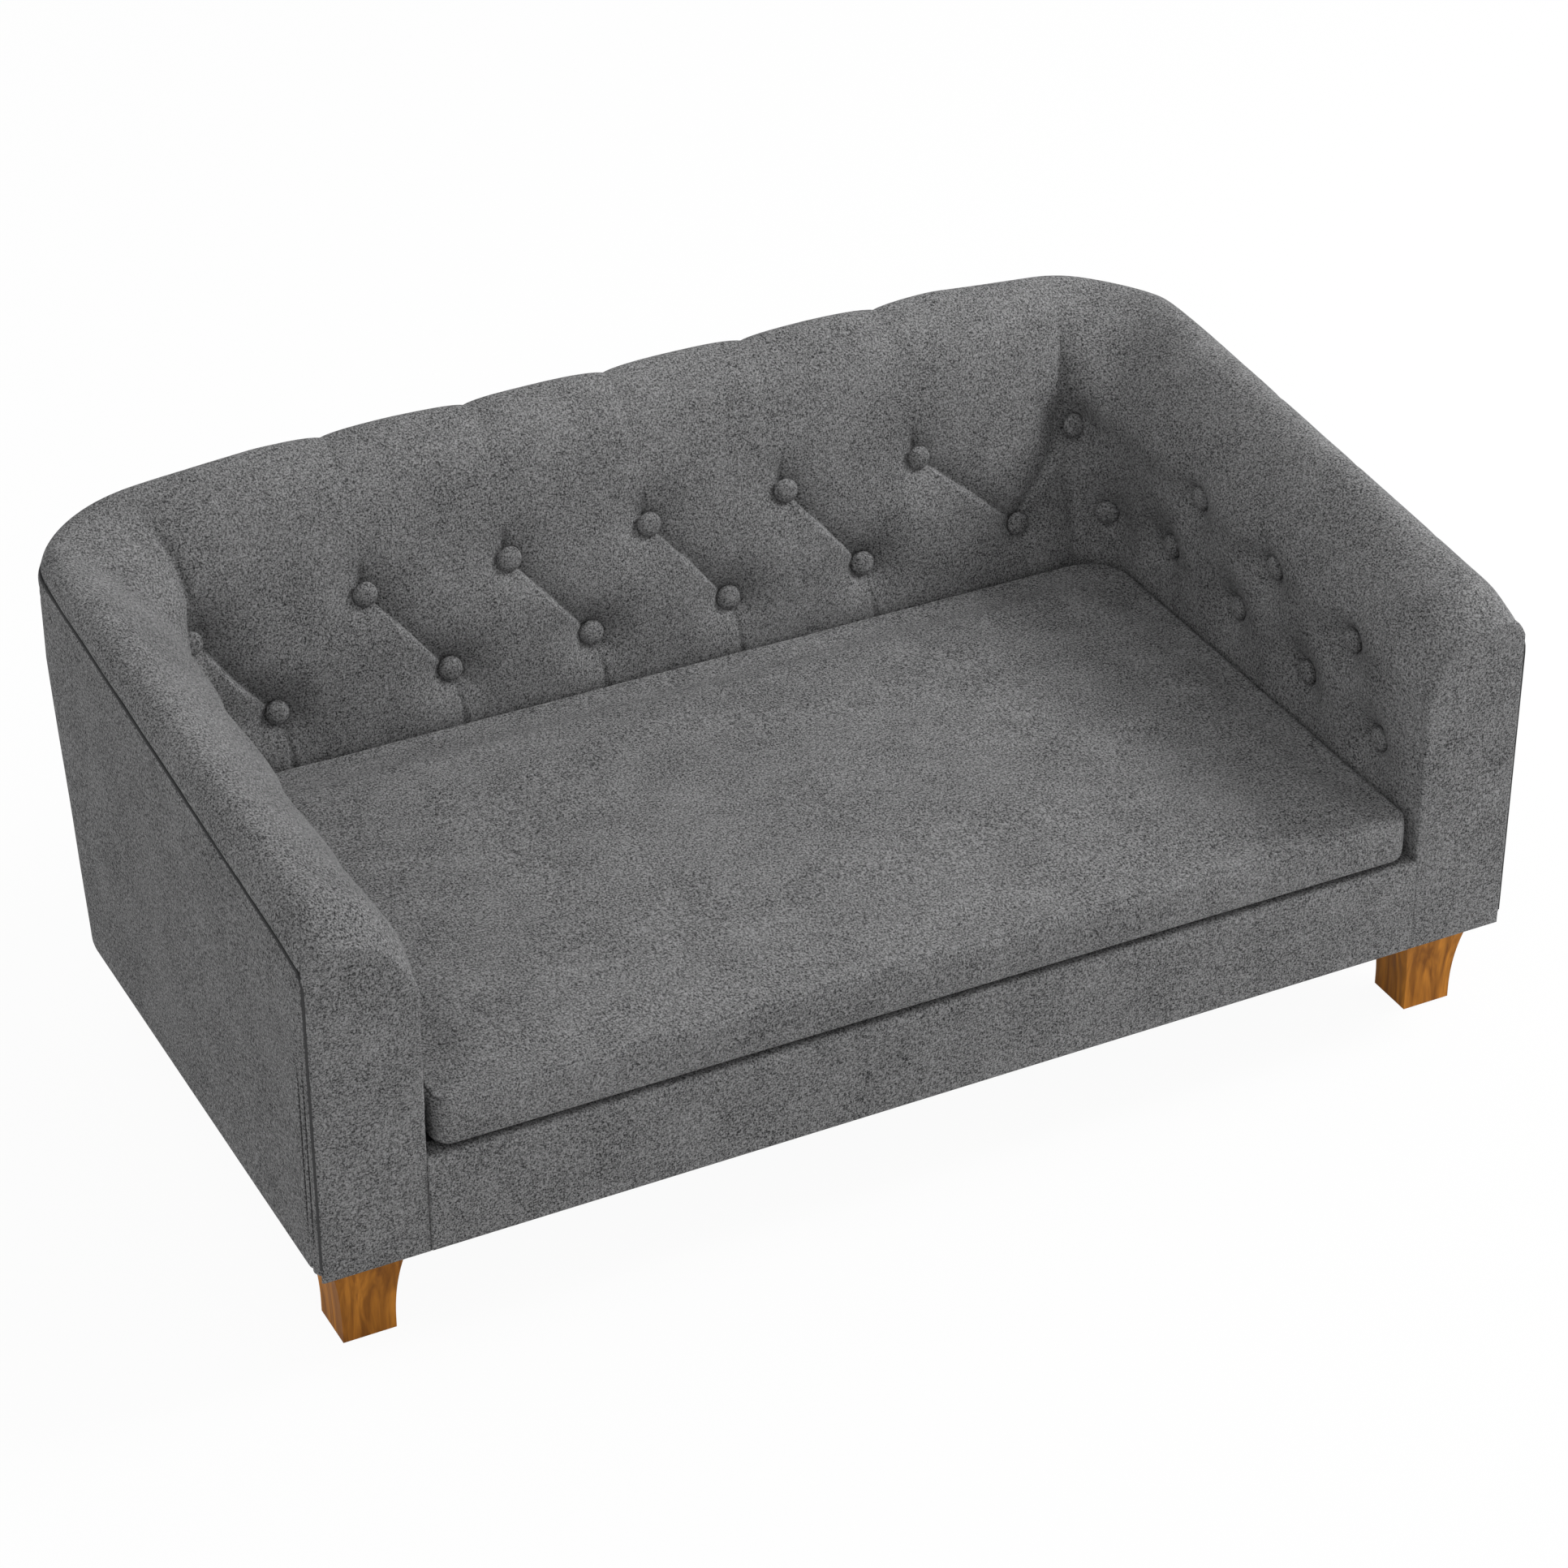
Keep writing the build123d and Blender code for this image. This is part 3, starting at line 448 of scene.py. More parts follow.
def applied(made):
    """The piece's mesh with its modifiers applied."""
    bpy.context.view_layer.update()
    mesh = bpy.data.meshes.new_from_object(made.evaluated_get(bpy.context.evaluated_depsgraph_get()))
    made.modifiers.clear()
    old, made.data = made.data, mesh
    bpy.data.meshes.remove(old)
    return mesh


# Nets: points in rows, joined by four-sided faces
def net_faces(rows, columns, closed_columns=False, start=0):
    """The four-sided faces between rows of points."""
    grid = np.arange(rows * columns).reshape(rows, columns) + start
    after = np.roll(grid, -1, 1)
    stacked = np.stack([grid[:-1], after[:-1], after[1:], grid[1:]], -1)
    return stacked[:, :columns if closed_columns else columns - 1].reshape(-1, 4).tolist()


def closed_net(rows):
    """Points and faces of a closed body through equal rings, capped at both ends."""
    rows = np.asarray(rows, float)
    count, around = rows.shape[:2]
    faces = net_faces(count, around, closed_columns=True)
    faces.append(list(range(around)))
    faces.append(list(range((count - 1) * around, count * around)))
    return rows.reshape(-1, 3), faces


def slab(front, back):
    """Points and faces of a closed body between two nets of the same size."""
    rows, columns = front.shape[:2]
    count = rows * columns
    faces = net_faces(rows, columns)
    faces += [face[::-1] for face in net_faces(rows, columns, start=count)]
    grid = np.arange(count).reshape(rows, columns)
    border = np.concatenate([grid[0], grid[1:, -1], grid[-1, -2::-1], grid[-2:0:-1, 0]])
    faces += [[a, b, b + count, a + count] for a, b in zip(border, np.roll(border, -1))]
    return np.concatenate([front.reshape(-1, 3), back.reshape(-1, 3)]), faces


def joined(bodies):
    """The points and faces of several bodies as one."""
    points, faces = [], []
    for more, more_faces in bodies:
        faces += [[index + len(points) for index in face] for face in more_faces]
        points += np.asarray(more).tolist()
    return points, faces


def tube(path, radii, first, second, sides):
    """A closed body of rings along a path; the rings lie in the plane of two ways."""
    turns = np.linspace(0, 2 * np.pi, sides, endpoint=False)[:, None]
    around = (np.cos(turns) * np.asarray(first, float)[..., None, :]
              + np.sin(turns) * np.asarray(second, float)[..., None, :])
    return closed_net(np.asarray(path, float)[:, None] + np.reshape(radii, (-1, 1, 1)) * around)


def unit(ways):
    return ways / np.maximum(np.linalg.norm(ways, axis=-1, keepdims=True), 1e-9)


def lengths_along(points, axis=0, power=1.0):
    """How far each point lies from the first, along a line or along an axis of a net."""
    steps = np.linalg.norm(np.diff(points, axis=axis), axis=-1) ** power
    return np.cumsum(np.insert(steps, 0, 0, axis=axis), axis=axis)


def at_lengths(line, lengths, wanted):
    """The line's points at the wanted lengths along it."""
    return np.stack([np.interp(wanted, lengths, column) for column in line.T], -1)


def inward_share(places, begin, reach):
    """0 farther from the middle than a place, and growing to 1 over a reach inward from it."""
    return np.clip((begin - np.abs(places)) / reach, 0, 1)


def soft_waves(points, size, strength, seed):
    """Slow waves over a surface, the same in every run."""
    shift = Vector((seed * 3.1, seed * 7.7, seed * 1.3))
    found = [noise.noise(Vector(p) / size + shift) for p in points.reshape(-1, 3).tolist()]
    return np.array(found).reshape(points.shape[:-1]) * strength


# Heights and depths of the bed's outline
def arm_rim(depth):
    return np.interp(depth, *ARM_RIM)


def panel_rim(depth):
    """Height of a side cover's top edge, which rounds down into its front seam."""
    fallen = np.clip(RIM_ROUND + PANEL_START - depth, 0, RIM_ROUND)
    return arm_rim(depth) - RIM_ROUND + np.sqrt(RIM_ROUND**2 - fallen**2)


def arm_crest(depth):
    return np.interp(depth, *ARM_CREST)


def corner_sag(turn):
    return CORNER_SAG * np.sin(np.pi * turn)


def corner_rim(turn):
    """Height of the seam a share of the way round a rear corner."""
    return ARM_RIM[1][-1] + (BACK_RIM[1][-1] - ARM_RIM[1][-1]) * turn - corner_sag(turn)


def back_rim(place):
    return np.interp(np.abs(place), *BACK_RIM)


def back_crest(place):
    return np.interp(np.abs(place), *BACK_CREST)


def crease_place(depth):
    return np.interp(depth, *CREASE)


def rear_face(height):
    return REAR - LEAN * (BEND - np.minimum(height, BEND))


def back_face(height):
    """Depth of the plane that the back's buttons are pulled to."""
    return SEAT_EDGE + LEAN * (height - SEAT)


def back_board(height):
    return back_face(height) + rear_face(SEAT) - SEAT_EDGE - BACK_FRAME


# Sections of the tufted pads, from the top seam over the roll and down to the seat
SKIN = 160
SEAM_STEPS = np.array([0, 0.5, 1.0, 1.6, 2.3, 3.2, 4.4, 6.0])


def smooth_curve(points, count):
    """Points on a smooth curve through the given ones: first at the seam steps, then evenly."""
    knots = lengths_along(points, power=0.5)
    slopes = np.gradient(points, knots, axis=0)
    fine = np.linspace(0, knots[-1], 8 * count)
    index = np.clip(np.searchsorted(knots, fine, side="right") - 1, 0, len(knots) - 2)
    width = (knots[index + 1] - knots[index])[:, None]
    t = (fine - knots[index])[:, None] / width
    curve = ((2 * t**3 - 3 * t**2 + 1) * points[index] + (t**3 - 2 * t**2 + t) * width * slopes[index]
             + (3 * t**2 - 2 * t**3) * points[index + 1] + (t**3 - t**2) * width * slopes[index + 1])
    lengths = lengths_along(curve)
    even = np.linspace(SEAM_STEPS[-1], lengths[-1], count - len(SEAM_STEPS) + 1)[1:]
    return at_lengths(curve, lengths, np.concatenate([SEAM_STEPS, even]))


def bowed(start, end, rise):
    """A point that stands outward from the middle of the line between two points."""
    chord = end - start
    level = chord * (1, 1, 0)
    length = np.linalg.norm(level)
    return (start + end) / 2 + unit(level / length * -chord[2] + (0, 0, length)) * rise


def section(rim, crest, face_point, foot_height, way, bulge, shoulder=5.0, swell=10.0):
    """A pad's outer skin over its rim, its crest and down its face."""
    heights = [SEAT + share * (foot_height - SEAT) for share in FACE_SHARES]
    face = [face_point(height) + way * proud for height, proud in zip(heights, bulge)]
    knots = [rim, bowed(rim, crest, shoulder), crest, bowed(crest, face[-1], swell)] + face[::-1]
    return smooth_curve(np.array(knots), SKIN)


def arm_station(depth):
    """Skin and inner points of the right arm's pad at a depth."""
    settle = np.clip((depth - FACING) / 30, 0, 1)
    behind = np.clip((depth - 30) / 150, 0, 1)
    rim = np.array([SIDE, depth, arm_rim(depth)])
    crest = np.array([SIDE - ARM_ROLL, depth, arm_crest(depth)])
    face = INNER - 1 + (ARM_FACE - INNER + 1) * settle
    skin = section(rim, crest, lambda height: np.array([face, depth, height]), crest[2] - 50 - 10 * behind,
                   np.array([-1.0, 0, 0]), ARM_BULGE * settle, 5 + 2 * settle, 13 - 5 * behind)
    return skin, np.array([(ARM_BOARD, depth, SEAT), (ARM_BOARD, depth, BEND), (BOARDS, depth, BEND),
                           (BOARDS, depth, rim[2] - 2)])


def corner_station(turn):
    """Skin and inner points a share of the way round the right rear corner."""
    along = (1 + 6 * turn) / 7
    angle = np.pi / 2 * turn

    def on_ring(radius, height):
        return np.array([CORNER + radius * np.cos(angle), CORNER_DEPTH + radius * np.sin(angle), height])

    def on_face(height):
        depth = back_face(height)
        return np.array([ARM_FACE + along * (crease_place(depth) - ARM_FACE),
                         ARM_END + along * (depth - ARM_END), height])

    def on_boards(height):
        past = max(2 * along - 1, 0)
        return np.array([ARM_BOARD + past * (crease_place(back_board(height)) - ARM_BOARD),
                         ARM_END + min(2 * along, 1) * (back_board(height) - ARM_END), height])

    rim = on_ring(CORNER_RADIUS, corner_rim(turn))
    foot_height = 323 + 15 * turn
    way = unit((on_face(foot_height) - rim) * (1, 1, 0))
    crest = on_ring(CORNER_RADIUS, np.interp(turn, *CORNER_CREST) - corner_sag(turn))
    crest += way * (ARM_ROLL + (BACK_ROLL - ARM_ROLL) * turn)
    bulge = ARM_BULGE * (1 - turn) + CREASE_BULGE * turn
    skin = section(rim, crest, on_face, foot_height, way, bulge, 5 + 2 * (1 - turn) ** 2, 8 + 2 * turn)
    shell = (on_ring(BOARDS - CORNER, BEND) if turn < 1
             else np.array([crease_place(REAR_LINING), REAR_LINING, BEND]))
    return skin, np.array([on_boards(SEAT), on_boards(BEND), shell, (shell[0], shell[1], rim[2] - 2)])


def back_station(place):
    """Skin and inner points of the back's pad at a place."""
    rim = np.array([place, REAR, back_rim(place)])
    crest = np.array([place, REAR - BACK_ROLL, back_crest(place)])
    skin = section(rim, crest, lambda height: np.array([place, back_face(height), height]),
                   crest[2] - BACK_FALL, np.array([0, -1.0, 0]), BACK_BULGE)
    return skin, np.array([(place, back_board(SEAT), SEAT), (place, back_board(BEND), BEND),
                           (place, REAR_LINING, BEND), (place, REAR_LINING, rim[2] - 2)])


# How many stations each stretch has, and the place where the back's level stretch ends
ARM_COUNT, CORNER_COUNT, FAN_COUNT, BACK_COUNT = 190, 44, 40, 440
BACK_LEVEL = 318.0


def inside_stations():
    """All the stations from the left arm's front round to the right arm's front, with the two
    stations where an arm's pad meets the back's."""
    arm = [arm_station(depth) for depth in np.linspace(FACING, ARM_END, ARM_COUNT)]
    corner = [corner_station(turn) for turn in np.linspace(0, 1, CORNER_COUNT)[1:]]
    middle = [back_station(place) for place in np.linspace(-BACK_LEVEL, BACK_LEVEL, BACK_COUNT)]
    fan = [tuple(a + (b - a) * t for a, b in zip(middle[-1], corner[-1]))
           for t in np.linspace(0, 1, FAN_COUNT)[1:-1]]
    right = fan + corner[::-1] + arm[::-1]
    left = [(skin * (-1, 1, 1), inner * (-1, 1, 1)) for skin, inner in right[::-1]]
    stations = left + middle + right
    crease_index = len(left) - len(fan) - 1
    return stations, crease_index, len(stations) - 1 - crease_index


def smoothed(skins, first, second, rounds=22):
    """Skins with their kinks round the corners eased, but not where the upper crease is."""
    count, width = skins.shape[:2]
    hold = np.ones((count, width, 1))
    creased = np.clip((0.60 * width - np.arange(width)) / (0.12 * width), 0, 1)[:, None]
    for index in (first, second):
        for near, share in ((0, 0.96), (1, 0.4), (2, 0.1)):
            for beside in (index - near, index + near):
                hold[beside] = np.minimum(hold[beside], 1 - share * creased)
    hold[0] = hold[-1] = 0
    for _ in range(rounds):
        eased = skins.copy()
        eased[1:-1] = 0.25 * skins[:-2] + 0.5 * skins[1:-1] + 0.25 * skins[2:]
        skins = skins + (eased - skins) * hold
    return skins


class Unrolled:
    """The inside of the bed laid out flat: run along the bed and rise up from the seat."""

    def __init__(self, skins):
        self.skins = skins
        run = lengths_along(skins[:, int(SKIN * 0.72)])
        self.run = np.repeat((run - run[-1] / 2)[:, None], SKIN, 1)
        self.rise = lengths_along(skins[:, ::-1], axis=1)[:, ::-1]

    def spot(self, point):
        """Run and rise of the skin's point nearest to a place, and how far it stands proud of it."""
        apart = np.linalg.norm(self.skins - np.asarray(point, float), axis=2)
        index = np.unravel_index(np.argmin(apart), apart.shape)
        return np.array([self.run[index], self.rise[index]]), apart[index]


# Buttons: place, depth and height of each one's base, and the way it faces
BACK_WAY = np.array([0, -1, LEAN]) / np.hypot(1, LEAN)
UPPER = (0.0, 118.0, 236.0, 376.5)
LOWER = (59.0, 177.0, 318.0)
UPPER_SEAT = (483.0, 305.0)
CORNER_SEAT = (480.5, 301.0)
LOWER_SEAT = (465.6, 233.7)
CORNER_BUTTON = (390.5, 445.0, 236.0)
ARM_LOWER = np.linspace((69, 225), (368, 239), 4)
ARM_UPPER = np.linspace((113, 287), (330, 301), 3)
ARM_BUTTON_FACE = ARM_FACE + 12.5


def arm_buttons(side):
    """Bases and ways of the buttons of one arm, and of the one in its rear corner."""
    spots = np.concatenate([ARM_LOWER, ARM_UPPER])
    found = [(np.array([side * ARM_BUTTON_FACE, *spot]), np.array([-side, 0, 0.0])) for spot in spots]
    return found + [(np.array(CORNER_BUTTON) * (side, 1, 1), np.array([-side, -1, 0]) / np.sqrt(2))]


def upper_spots():
    places = sorted({side * place for place in UPPER for side in (-1, 1)})
    return [(place, *(CORNER_SEAT if abs(place) == UPPER[-1] else UPPER_SEAT)) for place in places]


def lower_spots():
    return [(place, *LOWER_SEAT) for place in sorted(side * place for place in LOWER for side in (-1, 1))]


def back_buttons(spots):
    return [(np.array(spot), BACK_WAY) for spot in spots]


def part_way(first, second, share=0.5):
    return tuple((1 - share) * a + share * b for a, b in zip(first, second))


def back_pleats():
    """Pleats between the back's buttons, over its roll and down to the seat."""
    strong = millimetres("pleat_depth")
    roll = millimetres("roll_pleat_depth")
    for top in upper_spots():
        place = top[0]
        for bottom in lower_spots():
            gap = bottom[0] - place
            if abs(gap) > 90:
                continue
            if place == UPPER[-1]:
                yield ([top, (363, 474, 289), (347, 467, 274), (329, 460, 257), bottom],
                       [strong * share for share in (1.4, 1.1, 1.0, 1.2, 1.5)], (15.0, 2.2))
            elif gap > 0:
                yield ([top, part_way(top, bottom), bottom],
                       [strong * share for share in (1.35, 1.0, 1.6)], (1.7, 12.0))
            else:
                yield ([top, part_way(top, bottom), part_way(top, bottom, 0.7), bottom],
                       [0.4, 0.4, 2.2, 6.0], (8.0, 8.0))
        if abs(place) < UPPER[-1]:
            over = [(place, 500, 352), (place, 526, 385), (place, 553, back_crest(place)),
                    (place, REAR, back_rim(place))]
            yield ([top, (place, 487, 321), (place, 490, 331), (place, 495, 346)],
                   [10.0, 6.5, 1.6, 0.2], (1.6, 9.0))
            yield over, [0.2, roll * 0.7, roll, roll * 0.8], (2.5, 4.5)
            yield over, [0.2, 2.0, 3.6, 3.0], (17.0, 17.0)
    for place, depth, height in lower_spots():
        yield ([(place + 1, depth, height), (place + 4, 453, 208), (place + 6, 449, 178)],
               [6.0, 4.0, 1.0], (6.0, 1.6))


def arm_pleats(side):
    """The crease in a rear corner, and pleats between an arm's buttons and over its roll."""
    corner = (side * UPPER[-1], *CORNER_SEAT)
    crease = [(side * crease_place(depth), depth, height) for depth, height in
              ((REAR, 382), (545, 393), (524, 381), (504, 361), (490, 331))]
    yield (crease + [corner],
           [millimetres("corner_crease_depth") * share for share in (0.2, 0.4, 0.7, 1.0, 1.2, 1.4)], (3.0, 3.0))
    yield ([corner, (side * 384, 462, 268), (side * 390.5, 445, 236), (side * 391, 444, 200),
            (side * 390, 442, 172)], [3.6, 1.2, 4.2, 2.4, 0.8], (4.0, 6.0))
    for depth, height in ARM_UPPER:
        top = (side * ARM_FACE, depth, height)
        for bottom in ARM_LOWER:
            if abs(depth - bottom[0]) < 75:
                bottom = (side * ARM_FACE, *bottom)
                yield [top, part_way(top, bottom), bottom], [3.4, 0.8, 3.4], (5.0, 5.0)
        yield ([top, (side * 397, depth + 1, 318), (side * 425, depth + 2, arm_crest(depth) - 6),
                (side * 457, depth + 2, arm_crest(depth)), (side * SIDE, depth + 2, arm_rim(depth))],
               [4.6, 0.9, 0.5, 0.7, 0.4], (4.0, 6.0))
    for depth, height in ARM_LOWER:
        yield ([(side * ARM_FACE, depth, height), (side * 392.5, depth - 1, 200),
                (side * 393.5, depth - 2, 172)], [3.4, 1.4, 0.5], (2.5, 4.0))


def pleat_dent(flat, points, depths, widths):
    """How deep one pleat draws the skin in, all over the unrolled bed. It has a depth at each of
    its points, and the cloth rises again over one width on its left and another on its right."""
    spots = [flat.spot(point)[0] for point in points]
    nearest = np.full(flat.run.shape, 1e9)
    dent = np.zeros(flat.run.shape)
    for a, b, at_a, at_b in zip(spots, spots[1:], depths, depths[1:]):
        way = b - a
        length = max(np.hypot(*way), 1e-6)
        run, rise = flat.run - a[0], flat.rise - a[1]
        across = (run * way[1] - rise * way[0]) / length
        held = np.clip((run * way[0] + rise * way[1]) / length**2, 0, 1)
        apart = np.hypot(run - held * way[0], rise - held * way[1])
        width = np.where(across > 0, widths[0], widths[1])
        depth = (at_a + (at_b - at_a) * held) * np.exp(-np.maximum(apart - 0.6, 0) / width)
        dent = np.where(apart < nearest, depth, dent)
        nearest = np.minimum(nearest, apart)
    return dent


def button_dent(flat, base, index):
    """How deep one button draws the skin in, with small gathers round it."""
    spot, proud = flat.spot(base)
    if abs(base[0]) == UPPER[-1]:
        proud += 2.5
    run, rise = flat.run - spot[0], flat.rise - spot[1]
    past = np.maximum(np.hypot(run, rise) - millimetres("button_diameter") * 0.46, 0)
    reach = millimetres("tuft_width")
    hollow = 0.58 * np.exp(-past / (0.33 * reach)) + 0.42 * np.exp(-((past / reach) ** 2))
    turn = np.arctan2(rise, run)
    gathers = 0.6 * np.cos(5 * turn + index * 1.7) + 0.4 * np.cos(9 * turn + index * 2.9)
    return (proud + 1.0) * hollow + gathers * np.exp(-past / 9) * np.clip(past / 3, 0, 1)


# How strongly the dents of pleats and buttons add up, how deep and how wide the skin sinks into the
# top seam and into the front seams, and over which heights above the seat the dents set in
BLEND = 2.6
RIM_SINK, RIM_WIDTH = 3.2, 2.6
FRONT_SINK, FRONT_WIDTH = 0.8, 2.2
DENT_START, DENT_FADE = 4, 14


def tufted_inside():
    """Rings of the tufted inside and the two stations of its creases."""
    stations, first, second = inside_stations()
    skins = smoothed(np.array([skin for skin, _ in stations]), first, second)
    flat = Unrolled(skins)
    buttons = arm_buttons(-1) + arm_buttons(1) + back_buttons(upper_spots() + lower_spots())
    total = np.zeros(flat.run.shape)
    for index, (base, _) in enumerate(buttons):
        total += np.maximum(button_dent(flat, base, index), 0) ** BLEND
    for pleat in [*back_pleats(), *arm_pleats(-1), *arm_pleats(1)]:
        total += pleat_dent(flat, *pleat) ** BLEND
    dents = total ** (1 / BLEND)
    from_rim = flat.rise.max(axis=1, keepdims=True) - flat.rise
    dents += RIM_SINK * np.exp(-((from_rim / RIM_WIDTH) ** 1.6))
    ends = np.minimum(np.abs(skins[:, :, 1] - FACING), 30)
    near_front = (np.abs(skins[:, :, 0]) > ARM_FACE - 3) & (skins[:, :, 1] < 60)
    dents += np.where(near_front, FRONT_SINK * np.exp(-((ends / FRONT_WIDTH) ** 1.5)), 0)
    dents -= soft_waves(skins, 55.0, 0.5, 1)
    dents *= np.clip((flat.rise - DENT_START) / DENT_FADE, 0, 1)
    outward = unit(np.cross(np.gradient(skins, axis=1), np.gradient(skins, axis=0)))
    inner = np.array([points for _, points in stations])
    return np.concatenate([skins - outward * dents[..., None], inner], axis=1), first, second


class DOGSOFA_OT_pads(bpy.types.Operator):
    """Makes the tufted pads of the back and of both arms"""

    bl_idname = "dogsofa.pads"
    bl_label = "Tufted pads"

    def execute(self, context):
        rings, first, second = tufted_inside()
        for name, start, end in (("left_arm", 0, first), ("back", first, second),
                                 ("right_arm", second, len(rings) - 1)):
            pad = piece(name + "_pad", closed_net(rings[start:end + 1]), "fabric", "upholstery",
                        name + "_cover", sharp=50)
        return {"FINISHED"}


# Covered buttons: radii as shares and heights of a button's rings
BUTTON_PROFILE = ((0.86, -0.8), (0.95, 0.1), (1.0, 1.3), (0.985, 2.4), (0.93, 3.6), (0.83, 4.8),
                  (0.69, 5.7), (0.5, 6.3), (0.28, 6.55), (0.08, 6.6))


def facing_turn(way):
    """Axes of a plane that faces a way: right, up and out."""
    up = unit(np.array([0, 0, 1.0]) - way * way[2])
    return np.stack([np.cross(up, way), up, way])


def button_net(base, way, seed):
    """Points and faces of one covered button, slightly uneven and tilted."""
    rng = np.random.default_rng(seed)
    axes = facing_turn(way + rng.normal(0, 0.02, 3))
    turns = np.linspace(0, 2 * np.pi, 28, endpoint=False)
    rows = []
    for share, height in BUTTON_PROFILE:
        uneven = 1 + 0.012 * np.cos(3 * turns + seed) + 0.01 * np.cos(7 * turns + 2 * seed) * (share > 0.9)
        radius = millimetres("button_diameter") / 2 * share * uneven
        rows.append(base + np.stack([radius * np.cos(turns), radius * np.sin(turns), 0 * turns + height], 1) @ axes)
    return closed_net(rows)


class DOGSOFA_OT_buttons(bpy.types.Operator):
    """Makes the covered buttons in their tufts"""

    bl_idname = "dogsofa.buttons"
    bl_label = "Covered buttons"

    def execute(self, context):
        groups = {"left_arm_buttons": arm_buttons(-1), "right_arm_buttons": arm_buttons(1),
                  "back_upper_buttons": back_buttons(upper_spots()),
                  "back_lower_buttons": back_buttons(lower_spots())}
        for name, buttons in groups.items():
            net = joined(button_net(*button, number + 1) for number, button in enumerate(buttons))
            made = piece(name + "_covered", net, "fabric", "upholstery", name)
        return {"FINISHED"}


# Outer covers: nets of points over a panel, rounded into their seams. Each line of topstitching
# has its depth behind the front, its drop below the rim and the depth of its groove there.
STITCHED = ((14.2, 10.0, 1.0), (23.4, 17.5, 0.7))
FRONT_GROOVE = 1.9
COVER = 3.7
SKIRT_ROUND = 20.0

# An arm's facing: the radius of its edge below and how much more it has in the arch, the heights
# over which that grows, and how far back its face falls toward the edge and over what width
EDGE_ROUND, ARCH_ROUND = 2.6, 0.8
ARCH_START, ARCH_FADE = 285, 20
FACE_FALL, FALL_WIDTH = 1.3, 28

# Where the points of a net lie beside a seam
EDGE_STEPS = np.array([0, 0.35, 0.8, 1.4, 2.1, 2.9, 3.8, 5.0])
PANEL_EDGE = np.array([0, 0.4, 0.9, 1.5, 2.2, 3, 4, 5.5])


def rounded_in(apart, radius):
    """How far a cover turns in at a distance from its edge."""
    inside = np.clip(radius - apart, 0, radius)
    return radius - np.sqrt(np.maximum(radius**2 - inside**2, 0))


def edged(count, length, radius=5.0):
    """Shares of a length, closer together near both ends."""
    edge = EDGE_STEPS * radius / EDGE_STEPS[-1]
    middle = np.linspace(edge[-1], length - edge[-1], count)[1:-1]
    return np.concatenate([edge, middle, length - edge[::-1]]) / length


def settled(wave, most=0.2):
    """Waves that only ever go inward."""
    return np.maximum(wave, -most) + most


def cover_slab(net, normals, apart):
    """A cover of even thickness whose outer face rounds in at its edges."""
    turned = rounded_in(apart, millimetres("edge_radius"))
    return slab(net - normals * turned[..., None], net - normals * COVER)


def side_panel(side):
    """A side cover that runs back and round the rear corner."""
    steps = np.concatenate([np.arange(0, 28, 0.8), np.linspace(28, CORNER_DEPTH - PANEL_START, 104)])
    depth = PANEL_START + steps[:, None]
    turn = np.pi / 2 * edged(30, 121.0)[:, None]
    turn = turn[turn[:, 0] > 0.02]
    rises = np.concatenate([PANEL_EDGE, np.linspace(PANEL_EDGE[-1], 238, 60)[1:-1],
                            260 - np.arange(0, 22, 0.8)[::-1]]) / 260
    low = SKIRT + SKIRT_ROUND - np.sqrt(SKIRT_ROUND**2 - np.maximum(SKIRT_ROUND - depth, 0) ** 2)
    heights = low + (panel_rim(depth) - low) * rises
    shift = (rear_face(heights) - CORNER_RADIUS) / CORNER_DEPTH
    along = np.stack([SIDE + 0 * heights, depth * shift, heights], -1)
    heights = SKIRT + (corner_rim(turn / (np.pi / 2)) - SKIRT) * rises
    round_corner = np.stack([CORNER + CORNER_RADIUS * np.cos(turn) + 0 * heights,
                             rear_face(heights) - CORNER_RADIUS + CORNER_RADIUS * np.sin(turn), heights], -1)
    net = np.concatenate([along, round_corner])
    climbs, runs = lengths_along(net, axis=1), lengths_along(net)
    gaps = climbs[:, -1:] - climbs
    apart = np.minimum.reduce([climbs, gaps, runs, runs[-1:] - runs])
    normals = unit(np.cross(np.gradient(net, axis=0), np.gradient(net, axis=1)))
    grooves = np.zeros(runs.shape)
    for behind, below, along_rim in STITCHED:
        away = np.minimum(runs + PANEL_START - behind, gaps - below)
        grooves += np.interp(runs, (20, 60), (FRONT_GROOVE, along_rim)) * np.exp(-((away / 2.0) ** 2))
    wave = soft_waves(net, 70.0, 0.35, 5) * np.clip(apart / 20, 0, 1)
    net = net - normals * (grooves + settled(wave))[..., None]
    return cover_slab(net * (side, 1, 1), normals * (side, 1, 1), apart)


def rear_panel():
    places = (-CORNER + 2 * CORNER * edged(150, 2 * CORNER))[:, None]
    climbs = (back_rim(places) - SKIRT) * edged(78, 310.0)
    heights = SKIRT + climbs
    net = np.stack([places + 0 * heights, rear_face(heights), heights], -1)
    apart = np.minimum.reduce([climbs, climbs[:, -1:] - climbs, CORNER - np.abs(net[..., 0])])
    normals = unit(np.cross(np.gradient(net, axis=1), np.gradient(net, axis=0)))
    wave = soft_waves(net, 80.0, 0.4, 9) * np.clip(apart / 20, 0, 1)
    return cover_slab(net - normals * settled(wave)[..., None], normals, apart)


def outline_gap(net):
    """Distance of each point of a net from the net's own outline."""
    outline = np.concatenate([net[:, 0], net[::-1, -1], net[:1, 0]])
    apart = np.full(net.shape[:2], 1e9)
    for a, b in zip(outline, outline[1:]):
        way = b - a
        held = np.clip(((net - a) @ way) / max(way @ way, 1e-9), 0, 1)
        apart = np.minimum(apart, np.linalg.norm(net - a - held[..., None] * way, axis=-1))
    return apart


